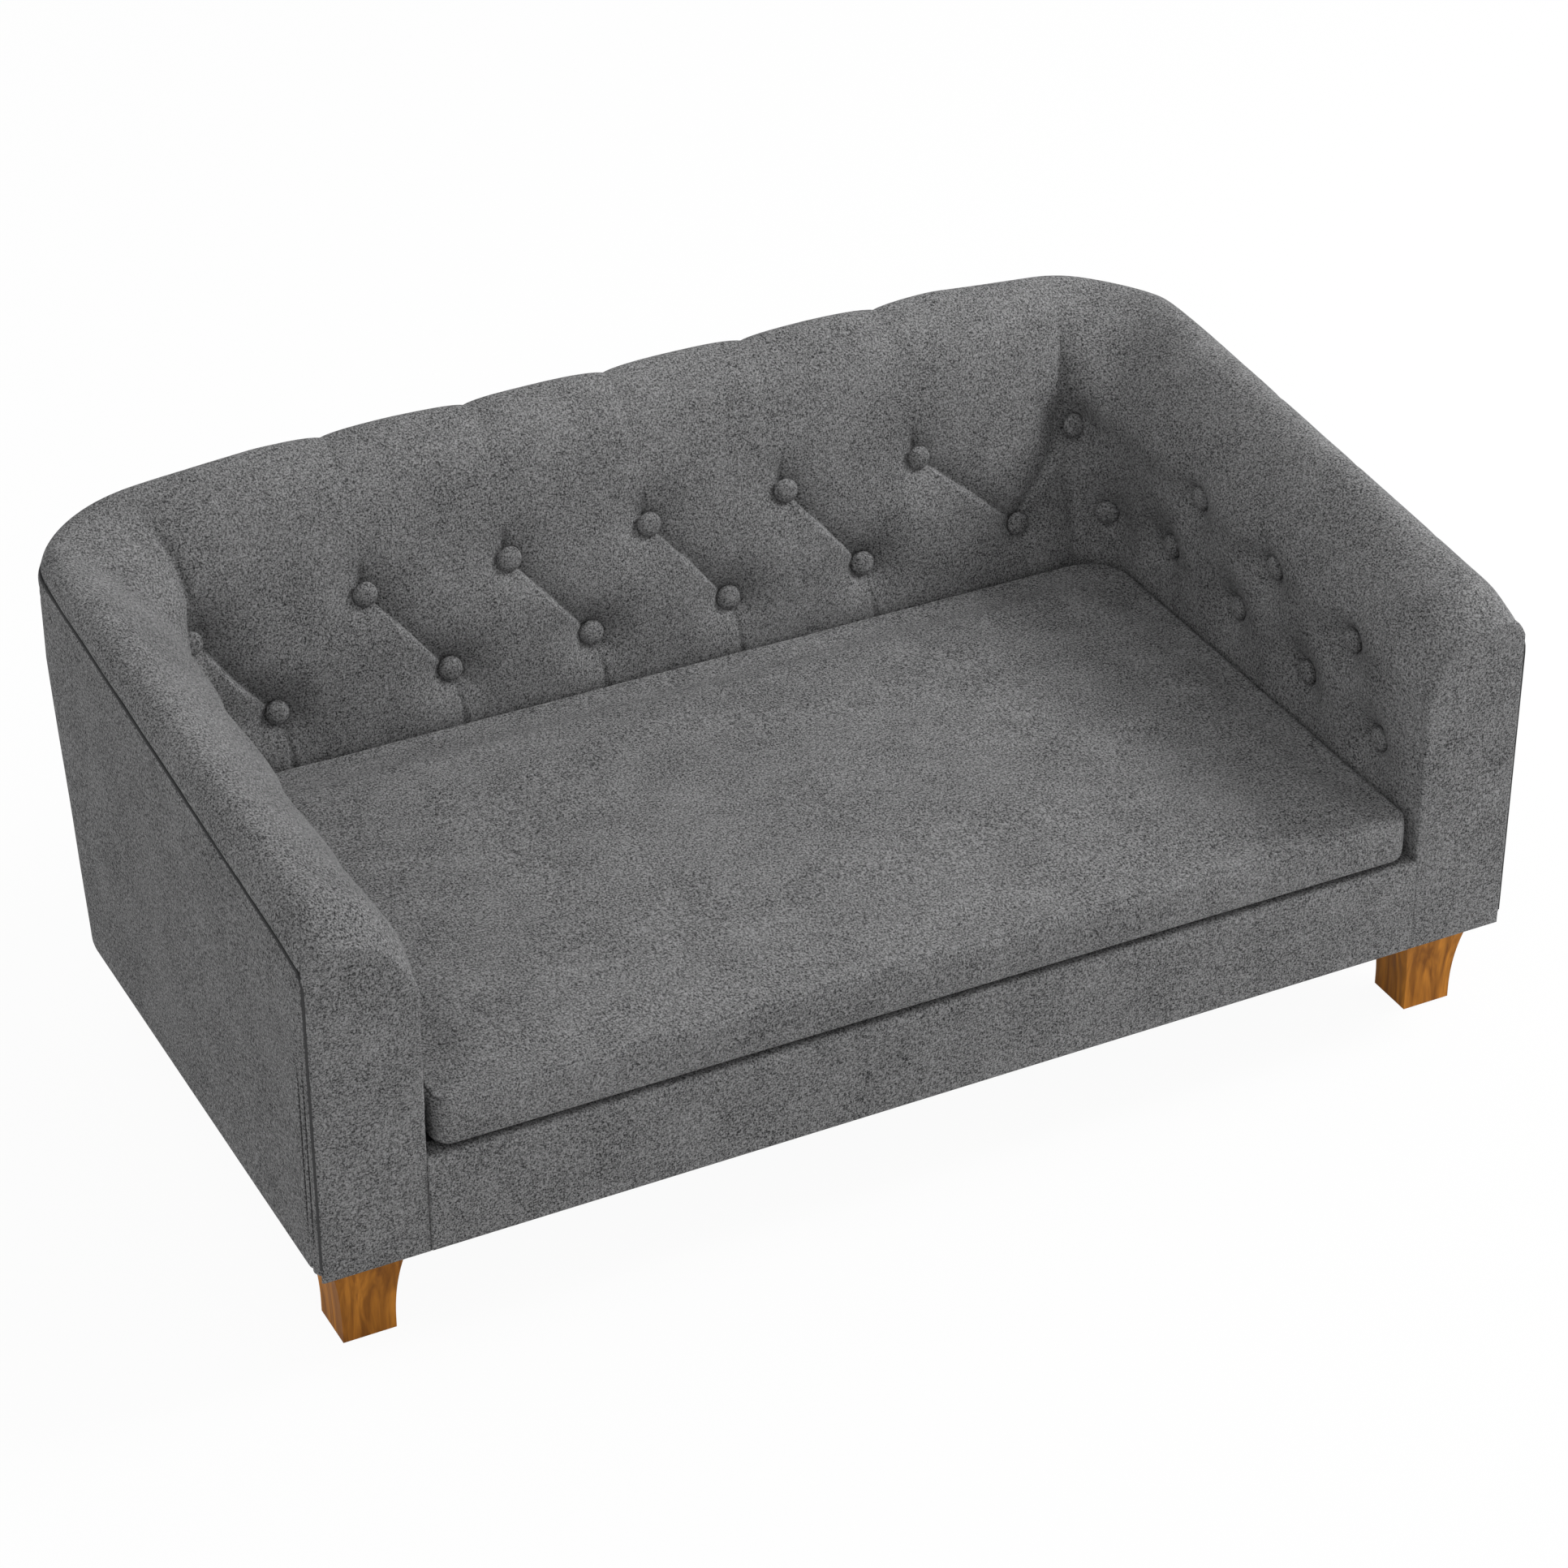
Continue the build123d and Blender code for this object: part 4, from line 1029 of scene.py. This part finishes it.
def arm_front(side):
    """An arm's facing inside the outline of the pad's front end."""
    skin = arm_station(FACING)[0]
    top = skin[:, 2].argmax()
    outer, inner = skin[:top + 1], skin[top:][::-1]
    climb = 1 - (1 - np.linspace(0, 1, 92)) ** 1.5
    climb = np.concatenate([edged(30, 100.0, 6.0)[:len(EDGE_STEPS)], climb[climb > 0.07]])
    shares = edged(26, FACING_SIDE - INNER, 7.0)
    rows = []
    for height in SKIRT + (skin[top, 2] - 0.4 - SKIRT) * climb:
        low = np.interp(height, inner[:, 2], inner[:, 0]) if height > SEAT + 40 else INNER - 0.6
        high = np.interp(height, outer[:, 2], outer[:, 0]) if height > outer[0, 2] else SIDE
        places = low + (min(high, FACING_SIDE) - low) * shares
        rows.append(np.stack([places, 0 * places, 0 * places + height], 1))
    net = np.array(rows)
    apart = outline_gap(net)
    arched = np.clip((net[..., 2] - ARCH_START) / ARCH_FADE, 0, 1)
    crowned = FACE_FALL * (1 - np.clip(apart / FALL_WIDTH, 0, 1)) ** 2
    wave = soft_waves(net, 60.0, 0.4, 13) * np.clip(apart / 15, 0, 1)
    net[..., 1] = rounded_in(apart, EDGE_ROUND + ARCH_ROUND * arched) + crowned + settled(wave)
    back = np.stack([np.minimum(net[..., 0], BOARDS), 0 * apart + FACING, net[..., 2]], -1)
    return slab(net * (side, 1, 1), back * (side, 1, 1))


def rail_pad():
    """The front rail's cover: padded face, rounded edges and a lip over the deck."""
    outline = [(10, 77), (4.2, 77), (2.2, 77.6), (0.8, 79), (0.2, 81.4), (0, 85)]
    outline += [(0, height) for height in np.linspace(90, 144, 16)]
    outline += [(0, 149), (0.3, 152.5), (1.2, 155), (2.8, 156.5), (5, 157), (9, 157), (14, 157), (19, 157),
                (19, 145), (10, 145), (10, 110)]
    depths, heights = np.array(outline, float).T
    places = (-INNER + 2 * INNER * edged(170, 2 * INNER, 3.0))[:, None]
    turned = rounded_in(INNER - np.abs(places), 1.8)
    rows = np.stack([places + 0 * depths, depths + np.where(depths < 9, turned, 0),
                     heights + 0 * places], -1)
    face = depths < 1
    rows[:, face, 1] += settled(soft_waves(rows[:, face], 60.0, 0.35, 21), 0.15)
    return closed_net(rows)


class DOGSOFA_OT_covers(bpy.types.Operator):
    """Makes the outer covers, the arms' facings and the front rail's cover"""

    bl_idname = "dogsofa.covers"
    bl_label = "Outer covers"

    def execute(self, context):
        for side, name in SIDES:
            piece(name + "_side_panel", side_panel(side), "fabric", "upholstery", name + "_side_cover", sharp=50)
            made = piece(name + "_arm_front", arm_front(side), "fabric", "upholstery", name + "_arm_facing", sharp=50)
        piece("rear_panel", rear_panel(), "fabric", "upholstery", "rear_cover", sharp=50)
        made = piece("front_rail_pad", rail_pad(), "fabric", "upholstery", "front_rail_cover", sharp=50)
        return {"FINISHED"}


# Topstitching beside the seams of the side covers, and dark thread laid in the seams as painted shade of the seam
# grooves
STITCH_SHARES = np.array([0.0, 0.25, 0.75, 1.0])
STITCH_RADII = (0.25, 0.6, 0.6, 0.25)
SEAM_SHADE_RADIUS = 1.1


def round_corner_line(radius, turns, below=0.0):
    return [(CORNER + radius * np.cos(turn), CORNER_DEPTH + radius * np.sin(turn),
             corner_rim(turn / (np.pi / 2)) - below) for turn in turns]


def stitch_lines():
    """Points along the two stitch lines of the right side cover, which run up behind its front
    seam, turn, and follow its top seam round to the back."""
    for depth, below, _ in STITCHED:
        top = arm_rim(depth) - below
        line = [(SIDE - 1.2, depth, height) for height in np.arange(SKIRT + 12, top, 1.0)]
        line += [(SIDE - 1.7, behind, arm_rim(behind) - below) for behind in np.arange(depth, CORNER_DEPTH, 1.0)]
        yield np.array(line + round_corner_line(75.3, np.linspace(0, np.pi / 2, 120)[1:-4], below))


def painted_seam_shade_lines():
    """Points along the seams of the right side where dark thread is laid as painted shade of the seam grooves: up the
    front of the side cover, along the arm's rim, round the corner, and down beside the rear cover."""
    over = [(SIDE - 1.5, 3.3, height) for height in np.arange(SKIRT + 12, 317.0, 2.0)]
    over += [(SIDE - 1.7, depth, panel_rim(depth) - 0.2) for depth in (3.6, 4.2, 5.0, 6.0, 7.5, 9.5)]
    over += [(SIDE - 2.0, depth, panel_rim(depth) - 0.2) for depth in np.arange(12.0, CORNER_DEPTH, 2.0)]
    over += round_corner_line(74.9, np.linspace(0, np.pi / 2, 40))
    rear = [(CORNER, rear_face(height) - 1.6, height) for height in np.arange(SKIRT + 3, 380.0, 3.0)]
    return np.array(over), np.array(rear)


def thread(line):
    """A thin closed tube along a line. Laid in the seams, these dark tubes are painted shade of the seam grooves."""
    way = unit(np.gradient(line, axis=0))
    first = unit(np.cross(way, (1.0, 0.02, 0.03)))
    return tube(line, SEAM_SHADE_RADIUS, first, np.cross(way, first), 8)


def stitches(line):
    """Small raised stitches along a line, each a slim closed body."""
    run = lengths_along(line)
    length = millimetres("stitch_length")
    for start in np.arange(1.0, run[-1] - length, length * 1.25):
        path = at_lengths(line, run, start + STITCH_SHARES * length)
        out = np.array([np.sign(path[0, 0]), 0, 0])
        yield tube(path, STITCH_RADII, out * 0.8, np.cross(unit(path[-1] - path[0]), out), 6)


class DOGSOFA_OT_stitching(bpy.types.Operator):
    """Makes the topstitching of the side covers, and dark thread in the seams as painted shade of the seam grooves"""

    bl_idname = "dogsofa.stitching"
    bl_label = "Topstitching"

    def execute(self, context):
        for side, name in SIDES:
            piece(name + "_topstitching", joined(stitch for line in stitch_lines()
                                                 for stitch in stitches(line * (side, 1, 1))), "thread")
            # Dark thread tubes in the side seams: painted shade of the seam grooves.
            piece(name + "_seam_thread", joined(thread(line * (side, 1, 1)) for line in painted_seam_shade_lines()), "thread")
        # Dark thread tube along the back's top seam: painted shade of the seam groove.
        back = [(place, REAR - 1.9, back_rim(place)) for place in np.arange(CORNER - 2, -CORNER, -3.0)]
        piece("back_seam_thread", thread(np.array(back)), "thread")
        return {"FINISHED"}


# Seat cushion
CUSHION_LOW = 157.3
CUSHION_EDGE = 198.3
CUSHION_HALF = 390.5
CUSHION_NEAR = 3.0
CUSHION_FAR = 442.5
CUSHION_MIDDLE = np.array([0, (CUSHION_NEAR + CUSHION_FAR) / 2])
CUSHION_ROUND = 5.0
NEAR_CORNER = 14.0
FAR_CORNER = 36.0
TUCK = 14.0
TUCK_RISE = 8.0
FRONT_SWELL, REAR_SWELL, SIDE_SWELL = 2.4, 2.2, 0.8
CROWN_REACH = 45
SWELLING_FRAMES = 20

# The flat behind the zip: how far it goes along and up from the zip's middle, and its depth
ZIP_HEIGHT = CUSHION_LOW + 20.5
FLAT_HALF, FLAT_RISE, FLAT_DEPTH = 322, 10.5, 440.6


def cushion_outline(inset, spacing=6.0):
    """The cushion's plan, drawn in by an inset, as evenly spaced points."""
    half, near, far = CUSHION_HALF - inset, CUSHION_NEAR + inset, CUSHION_FAR - inset
    points = []
    for x, y, radius, start in ((half, near, NEAR_CORNER, -90), (half, far, FAR_CORNER, 0),
                                (-half, far, FAR_CORNER, 90), (-half, near, NEAR_CORNER, 180)):
        radius -= inset
        turns = np.radians(np.linspace(start, start + 90, 9))
        points += zip(x - np.sign(x) * radius + radius * np.cos(turns),
                      y + (radius if y == near else -radius) + radius * np.sin(turns))
    points = np.array(points + points[:1])
    lengths = lengths_along(points)
    return at_lengths(points, lengths, np.linspace(0, lengths[-1], int(lengths[-1] / spacing), endpoint=False))


def ring(plan, height, share=1.0):
    """A plan at a height, drawn in to a share of its size about the cushion's middle."""
    flat = CUSHION_MIDDLE + (plan - CUSHION_MIDDLE) * share
    return np.column_stack([flat, np.full(len(flat), height)])


def crowned_form(inset, crown):
    """A closed cushion form: flat base, boxing and a crowned top, drawn in by an inset."""
    plan = cushion_outline(inset)
    low, edge = CUSHION_LOW + 3, CUSHION_EDGE - 3
    rings = [ring(plan, low, share) for share in (0.02, 0.25, 0.5, 0.75, 0.9)]
    rings += [ring(plan, low + (edge - low) * share) for share in (0.0, 0.25, 0.5, 0.75, 1.0)]
    rings += [ring(plan, edge + crown * (1 - share**2.4), share)
              for share in (0.97, 0.9, 0.8, 0.65, 0.5, 0.25, 0.02)]
    return closed_net(rings)


def swell_with_cloth(made):
    """Swells a form in a cloth simulation, held at its base, by no more than the cushion's swell."""
    start = coordinates(made.data)
    base = np.flatnonzero(start[:, 2] < (CUSHION_LOW + 8) * MM)
    made.vertex_groups.new(name="base").add(base.tolist(), 1.0, "REPLACE")
    cloth = made.modifiers.new("filling", "CLOTH")
    for name, value in (("quality", 4), ("use_pressure", True), ("uniform_pressure_force", 4.0),
                        ("tension_stiffness", 25), ("compression_stiffness", 25),
                        ("bending_stiffness", 1.5), ("vertex_group_mass", "base")):
        setattr(cloth.settings, name, value)
    cloth.settings.effector_weights.gravity = 0
    cloth.collision_settings.use_collision = False
    cloth.point_cache.frame_start = 1
    cloth.point_cache.frame_end = SWELLING_FRAMES
    for number in range(1, SWELLING_FRAMES + 1):
        bpy.context.scene.frame_set(number)
    moved = coordinates(applied(made)) - start
    bpy.context.scene.frame_set(1)
    apart = np.linalg.norm(moved, axis=1, keepdims=True)
    moved *= np.minimum(1, millimetres("cushion_swell") * MM / np.maximum(apart, 1e-9))
    set_coordinates(made.data, start + moved)


def filled_form():
    """The cushion's form swollen by its filling, as a tree for ray casts."""
    made = linked("filling", mesh_of("filling", *crowned_form(3.0, 3.0)))
    even = made.modifiers.new("even", "REMESH")
    even.mode = "VOXEL"
    even.voxel_size = 0.0055
    applied(made)
    swell_with_cloth(made)
    smooth = made.modifiers.new("smooth", "SMOOTH")
    smooth.factor = 0.5
    smooth.iterations = 6
    mesh = applied(made)
    tree = BVHTree.FromPolygons(coordinates(mesh).tolist(), [list(face.vertices) for face in mesh.polygons])
    bpy.data.objects.remove(made)
    bpy.data.meshes.remove(mesh)
    return tree


def cushion_profile():
    """Inset and height of the cover's rings up its base edge, its boxing and over its top seam."""
    turns = np.radians(np.linspace(0, 90, 8))
    base = np.stack([TUCK * (1 - np.sin(turns)), CUSHION_LOW + TUCK_RISE * (1 - np.cos(turns))], 1)
    heights = np.linspace(CUSHION_LOW + TUCK_RISE, CUSHION_EDGE - CUSHION_ROUND, 13)[1:-1]
    turns = np.radians(np.linspace(0, 90, 21))
    radius = CUSHION_ROUND - 1.3 * np.exp(-((CUSHION_ROUND * (turns - np.radians(52))) ** 2))
    edge = np.stack([CUSHION_ROUND - radius * np.cos(turns),
                     CUSHION_EDGE - CUSHION_ROUND + radius * np.sin(turns)], 1)
    return np.concatenate([base, np.stack([0 * heights, heights], 1), edge])


def cushion_cover():
    """The cushion's cover, whose top follows the filling."""
    filling = filled_form()
    plan = cushion_outline(0.0, 3.4)
    along = unit(np.roll(plan, -1, 0) - np.roll(plan, 1, 0))
    inward = np.stack([-along[:, 1], along[:, 0]], 1)
    swell = (SIDE_SWELL * inward[:, 0] ** 2
             + np.where(inward[:, 1] > 0, FRONT_SWELL, REAR_SWELL) * inward[:, 1] ** 2)
    rings = [ring(plan + TUCK * inward, CUSHION_LOW, share) for share in (0.02, 0.3, 0.6, 0.85)]
    for inset, height in cushion_profile():
        share = (height - CUSHION_LOW) / (CUSHION_EDGE - CUSHION_LOW)
        rings.append(ring(plan + inward * (inset - swell * 4 * share * (1 - share))[:, None], height))
    border = cushion_outline(0.0)
    for share in np.concatenate([[0.998, 0.995, 0.99, 0.98], np.linspace(0.965, 0.02, 36)]):
        top = ring(plan + CUSHION_ROUND * inward, CUSHION_EDGE, share)
        from_edge = np.linalg.norm(top[:, None, :2] - border, axis=2).min(1)
        gap = np.clip((from_edge - CUSHION_ROUND) / CROWN_REACH, 0, 1)
        hits = [filling.ray_cast(Vector((x * MM, (y + FRONT) * MM, 1.0)), Vector((0, 0, -1)))[0]
                for x, y, _ in top]
        swollen = [hit.z / MM - CUSHION_EDGE if hit else 0.0 for hit in hits]
        top[:, 2] += np.maximum(swollen, 0.5) * gap * gap * (3 - 2 * gap)
        rings.append(top)
    rings = np.array(rings)
    rings[..., 2] += soft_waves(rings, 70.0, 0.7, 41) * np.clip((rings[..., 2] - CUSHION_LOW - 8) / 12, 0, 1)
    behind_zip = (inward_share(rings[..., 0], FLAT_HALF, 6) * (rings[..., 1] > 430)
                  * inward_share(rings[..., 2] - ZIP_HEIGHT, FLAT_RISE, 3.5))
    rings[..., 1] -= behind_zip * np.maximum(rings[..., 1] - FLAT_DEPTH, 0)
    return closed_net(rings)


class DOGSOFA_OT_cushion(bpy.types.Operator):
    """Makes the loose seat cushion: its swollen cover and the foam inside"""

    bl_idname = "dogsofa.cushion"
    bl_label = "Seat cushion"

    def execute(self, context):
        made = piece("seat_cushion_cover", cushion_cover(), "fabric", "upholstery", "cushion_cover",
                     body="seat_cushion", sharp=70)
        foam = piece("seat_cushion_foam", crowned_form(8.0, 1.0), "foam", "foam", "cushion_foam",
                     body="seat_cushion", sharp=40)
        return {"FINISHED"}


# Zip in the rear of the cushion. A tooth of its coil is a small loop, given as shares of the
# pitch along the zip, depths behind its face and heights from its middle.
ZIP_FACE = 441.0
COIL_PITCH = 1.9
COIL_HALF = 308
COIL_PATH = ((0, 0.2, -0.4), (0, 0.75, 0.3), (0.2, 0.85, 1.6), (0.35, 0.3, 2.5))
TAPE_DEPTH = 440.2
TAPE_LENGTH = 636
TAPE_HEIGHT = 25.5
TAPE_THICKNESS = 0.75
TAPE_ROUND = 2.0


def coil_teeth():
    """Two rows of teeth, each a small loop of nylon."""
    for side in (1, -1):
        for place in np.arange(-COIL_HALF, COIL_HALF, COIL_PITCH):
            start = place + (COIL_PITCH / 2 if side > 0 else 0)
            path = [(start + COIL_PITCH * share, ZIP_FACE + out, ZIP_HEIGHT + side * rise)
                    for share, out, rise in COIL_PATH]
            yield tube(path, 0.34, (1, 0, 0), (0, 1, 0), 6)


def zip_tape():
    """A thin upright strip with rounded corners, facing the rear."""
    turns = np.radians(np.linspace(0, 90, 6)) + np.radians([[0], [90], [180], [270]])
    across, up = np.array([[1], [-1], [-1], [1]]), np.array([[1], [1], [-1], [-1]])
    x = (across * (TAPE_LENGTH / 2 - TAPE_ROUND) + TAPE_ROUND * np.cos(turns)).ravel()
    z = (up * (TAPE_HEIGHT / 2 - TAPE_ROUND) + TAPE_ROUND * np.sin(turns)).ravel()
    return closed_net([np.stack([x * size, 0 * x + TAPE_DEPTH + TAPE_THICKNESS * share, ZIP_HEIGHT + z * size], 1)
                       for share, size in ((0, 0.93), (0.2, 1.0), (0.8, 1.0), (1, 0.93))])


class DOGSOFA_OT_zip(bpy.types.Operator):
    """Makes the cushion's zip tape and coil, and gives its slider and pull their steel finish"""

    bl_idname = "dogsofa.zip"
    bl_label = "Zip"

    def execute(self, context):
        piece("zip_tape_strip", zip_tape(), "lining", "zip_tape", "cushion_zip_tape", body="seat_cushion", sharp=40)
        piece("zip_coil_teeth", joined(coil_teeth()), "coil", "zip", "cushion_zip_coil", body="seat_cushion")
        for name in ("zip_slider", "zip_pull"):
            finished_in(frame["nodes"][name].data, "steel")
        return {"FINISHED"}


# Cloths stretched over the deck and under the frame. The dust cover's figures are in metres: how
# long an edge of its mesh may be, how far it sags, and where across and along the sag begins and
# how fast it grows inward from there.
DECK_FRONT = 19.4
DECK_DROP = 1.6
DECK_THICKNESS = 1.0
LONGEST_EDGE = 0.03
DUST_SAG = 0.0022
DUST_ACROSS = (0.36, 0.2)
DUST_ALONG = (0.2, 0.12)


class DOGSOFA_OT_cloths(bpy.types.Operator):
    """Makes the cloth on the seat deck and the dust cover under the frame"""

    bl_idname = "dogsofa.cloths"
    bl_label = "Lining cloths"

    def execute(self, context):
        low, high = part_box("deck_cloth")
        places = np.linspace(low.x / MM + 0.5, high.x / MM - 0.5, 90)
        depths = np.linspace(DECK_FRONT, high.y / MM - FRONT - 1.0, 46)
        x, y = np.meshgrid(places, depths, indexing="ij")
        net = np.stack([x, y, np.full(x.shape, SEAT - DECK_DROP)], -1)
        edge = np.minimum.reduce([x - places[0], places[-1] - x, y - depths[0], depths[-1] - y])
        net[..., 2] += soft_waves(net, 45.0, 0.9, 31) * np.clip(edge / 40, 0, 1)
        deck = piece("deck_lining", slab(net, net + (0, 0, DECK_THICKNESS)), "lining", "lining", "deck_cloth")

        mesh = cad_copy("dust_cover")
        with edited(mesh) as made:
            bmesh.ops.remove_doubles(made, verts=made.verts, dist=1e-6)
            for _ in range(5):
                long = [edge for edge in made.edges if edge.calc_length() > LONGEST_EDGE]
                if long:
                    bmesh.ops.subdivide_edges(made, edges=long, cuts=1, use_grid_fill=False)
                    bmesh.ops.triangulate(made, faces=[f for f in made.faces if len(f.verts) > 3])
        points = coordinates(mesh)
        x, y = points[:, 0], points[:, 1]
        points[:, 2] -= DUST_SAG * inward_share(x, *DUST_ACROSS) * inward_share(y, *DUST_ALONG)
        set_coordinates(mesh, points)
        low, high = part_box("dust_cover")
        dust = dressed(mesh, "dust_cover_cloth", "lining", "lining", ["dust_cover"])
        mesh.shade_flat()
        return {"FINISHED"}


# Foam inside the arms and the back
FOAM_ROUND = 0.004


def foam_block(node):
    """A copy of a foam's CAD form, drawn in a little and with its edges rounded over."""
    mesh = cad_copy(node)
    with edited(mesh) as made:
        bmesh.ops.remove_doubles(made, verts=made.verts, dist=1e-6)
        bmesh.ops.dissolve_limit(made, angle_limit=np.radians(1), verts=made.verts, edges=made.edges)
        sharp = [edge for edge in made.edges if edge.is_manifold and edge.calc_face_angle() > np.radians(20)]
        bmesh.ops.bevel(made, geom=sharp, offset=FOAM_ROUND, segments=3, profile=0.5, affect="EDGES",
                        clamp_overlap=True)
        made.normal_update()
        for vertex in made.verts:
            vertex.co -= vertex.normal * FOAM_ROUND * 0.6
    return dressed(mesh, node + "_block", "foam", "foam", [node], frame["nodes"][node]["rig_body"], sharp=40)


class DOGSOFA_OT_foam(bpy.types.Operator):
    """Makes the foam inside the arms and the back"""

    bl_idname = "dogsofa.foam"
    bl_label = "Foam"

    def execute(self, context):
        for name in ("left_arm", "right_arm", "back"):
            made = foam_block(name + "_foam")
        return {"FINISHED"}


# Wood and steel: nodes by finish. A name that starts with an underscore has a left and a right one.
FLARE_SHARE = 0.6
TIMBER = {
    "timber_across": ("front_rail", "rear_rail", "back_top_rail", "front_left_block", "front_right_block",
                      "rear_left_block", "rear_right_block"),
    "timber_back": ("_side_rail", "_cross_rail", "_arm_top_batten"),
    "timber_up": ("back_posts", "_arm_front_post", "_arm_rear_post"),
    "board": ("seat_deck", "back_inner_board", "back_outer_board", "_arm_front_board", "_arm_inner_board",
              "_arm_outer_board", "_corner_panel"),
    "steel": ("leg_bolts", "leg_nuts"),
}


def both_sides(name):
    return [side + name for _, side in SIDES] if name.startswith("_") else [name]


def slim_leg(node):
    """A copy of a leg whose flare is shallower over the same foot."""
    mesh = cad_copy(node)
    points = coordinates(mesh)
    foot = points[points[:, 2] < 0.005, :2]
    middle, half = (foot.max(0) + foot.min(0)) / 2, (foot.max(0) - foot.min(0)) / 2
    apart = points[:, :2] - middle
    flared = np.maximum(np.abs(apart) - half, 0)
    points[:, :2] = middle + np.sign(apart) * (np.minimum(np.abs(apart), half) + FLARE_SHARE * flared)
    set_coordinates(mesh, points)
    dressed(mesh, node + "_flared", "leg_wood", "leg_wood", [node], sharp=40)


class DOGSOFA_OT_timber(bpy.types.Operator):
    """Gives the legs, rails, boards and fixings their finishes"""

    bl_idname = "dogsofa.timber"
    bl_label = "Wood and steel"

    def execute(self, context):
        for finish, names in TIMBER.items():
            for node in (node for name in names for node in both_sides(name)):
                finished_in(frame["nodes"][node].data, finish)
        for end in ("front", "rear"):
            for _, side in SIDES:
                slim_leg(f"{end}_{side}_leg")
        return {"FINISHED"}


# Stage, in metres. A lamp has its place, its width and its power.
LAMPS = {"key": ((2.6, -0.4, 2.15), 0.95, 68.0), "front_fill": ((-1.2, -2.4, 1.6), 2.0, 1.0)}
LOOKED_AT = Vector((0, 0, 0.2))
FLOOR_REACH = 30.0
FLOOR_LEVEL = -0.0005
FLOOR_GLOW = 0.95
WORLD_LIGHT = 0.685
WHITE = (1, 1, 1, 1)
CAMERA_PLACE = (-1.29133, -2.55718, 2.00705)
CAMERA_TURN = (57.4759, 0.0, -27.0711)
CAMERA_LENS = 103.77


def pale_floor():
    """A pale floor that shows nearly white and keeps the bed's soft shadow."""
    finish = Finish("pale_floor")
    seen = finish.seen_by("Is Camera Ray", "Is Glossy Ray", "Is Transmission Ray")
    matte = finish.node("BsdfDiffuse", None, {"Color": (0.86, 0.86, 0.86, 1)})
    bright = finish.node("Emission", None, {"Color": WHITE, "Strength": 1.0})
    return finish.closed(finish.node("MixShader", None, {
        "Fac": seen * FLOOR_GLOW, 1: Value(finish, matte.outputs[0]), 2: Value(finish, bright.outputs[0])}))


def studio_world():
    """Even light that looks white to the camera."""
    finish = Finish("studio", "worlds")
    strength = WORLD_LIGHT + (1 - WORLD_LIGHT) * finish.seen_by("Is Camera Ray", "Is Transmission Ray")
    return finish.closed(finish.node("Background", None, {"Color": WHITE, "Strength": strength}), "OutputWorld")


class DOGSOFA_OT_stage(bpy.types.Operator):
    """Sets the floor, the light and the camera"""

    bl_idname = "dogsofa.stage"
    bl_label = "Stage"

    def execute(self, context):
        scene = context.scene
        mesh = bpy.data.meshes.new("floor")
        mesh.from_pydata([(x * FLOOR_REACH, y * FLOOR_REACH, FLOOR_LEVEL)
                          for x, y in ((-1, -1), (1, -1), (1, 1), (-1, 1))], [], [(0, 1, 2, 3)])
        mesh.materials.append(pale_floor())
        floor = linked("floor", mesh)
        scene.world = studio_world()

        for name, (place, size, power) in LAMPS.items():
            data = bpy.data.lights.new(name, "AREA")
            data.size = size
            data.energy = power
            lamp = linked(name, data)
            lamp.location = place
            lamp.rotation_euler = (LOOKED_AT - Vector(place)).to_track_quat("-Z", "Y").to_euler()

        data = bpy.data.cameras.new("camera")
        data.lens = CAMERA_LENS
        data.sensor_width = 36.0
        data.clip_end = 100.0
        camera = linked("camera", data)
        camera.location = CAMERA_PLACE
        camera.rotation_euler = np.radians(CAMERA_TURN)
        scene.camera = camera
        scene.view_settings.view_transform = "Standard"
        return {"FINISHED"}


class DOGSOFA_PT_panel(bpy.types.Panel):
    """Lists the steps that dress the bed"""

    bl_idname = "DOGSOFA_PT_panel"
    bl_label = "Dog sofa bed"
    bl_space_type = "VIEW_3D"
    bl_region_type = "UI"
    bl_category = "Dog sofa bed"

    def draw(self, context):
        for step in STEPS:
            self.layout.operator(step.bl_idname)
        for group in (context.scene.dog_sofa_sizes, context.scene.dog_sofa_colours):
            box = self.layout.box()
            for name in group.__annotations__:
                box.prop(group, name)


STEPS = (DOGSOFA_OT_stage, DOGSOFA_OT_pads, DOGSOFA_OT_buttons, DOGSOFA_OT_covers, DOGSOFA_OT_stitching,
         DOGSOFA_OT_cushion, DOGSOFA_OT_zip, DOGSOFA_OT_cloths, DOGSOFA_OT_foam, DOGSOFA_OT_timber)
CLASSES = (SofaSizes, SofaColours, *STEPS, DOGSOFA_PT_panel)


def register():
    for entry in CLASSES:
        bpy.utils.register_class(entry)
    bpy.types.Scene.dog_sofa_sizes = PointerProperty(type=SofaSizes)
    bpy.types.Scene.dog_sofa_colours = PointerProperty(type=SofaColours)


def unregister():
    del bpy.types.Scene.dog_sofa_colours
    del bpy.types.Scene.dog_sofa_sizes
    for entry in reversed(CLASSES):
        bpy.utils.unregister_class(entry)


def main():
    register()
    for step in STEPS:
        group, name = step.bl_idname.split(".")
        getattr(getattr(bpy.ops, group), name)()


if __name__ == "__main__":
    main()
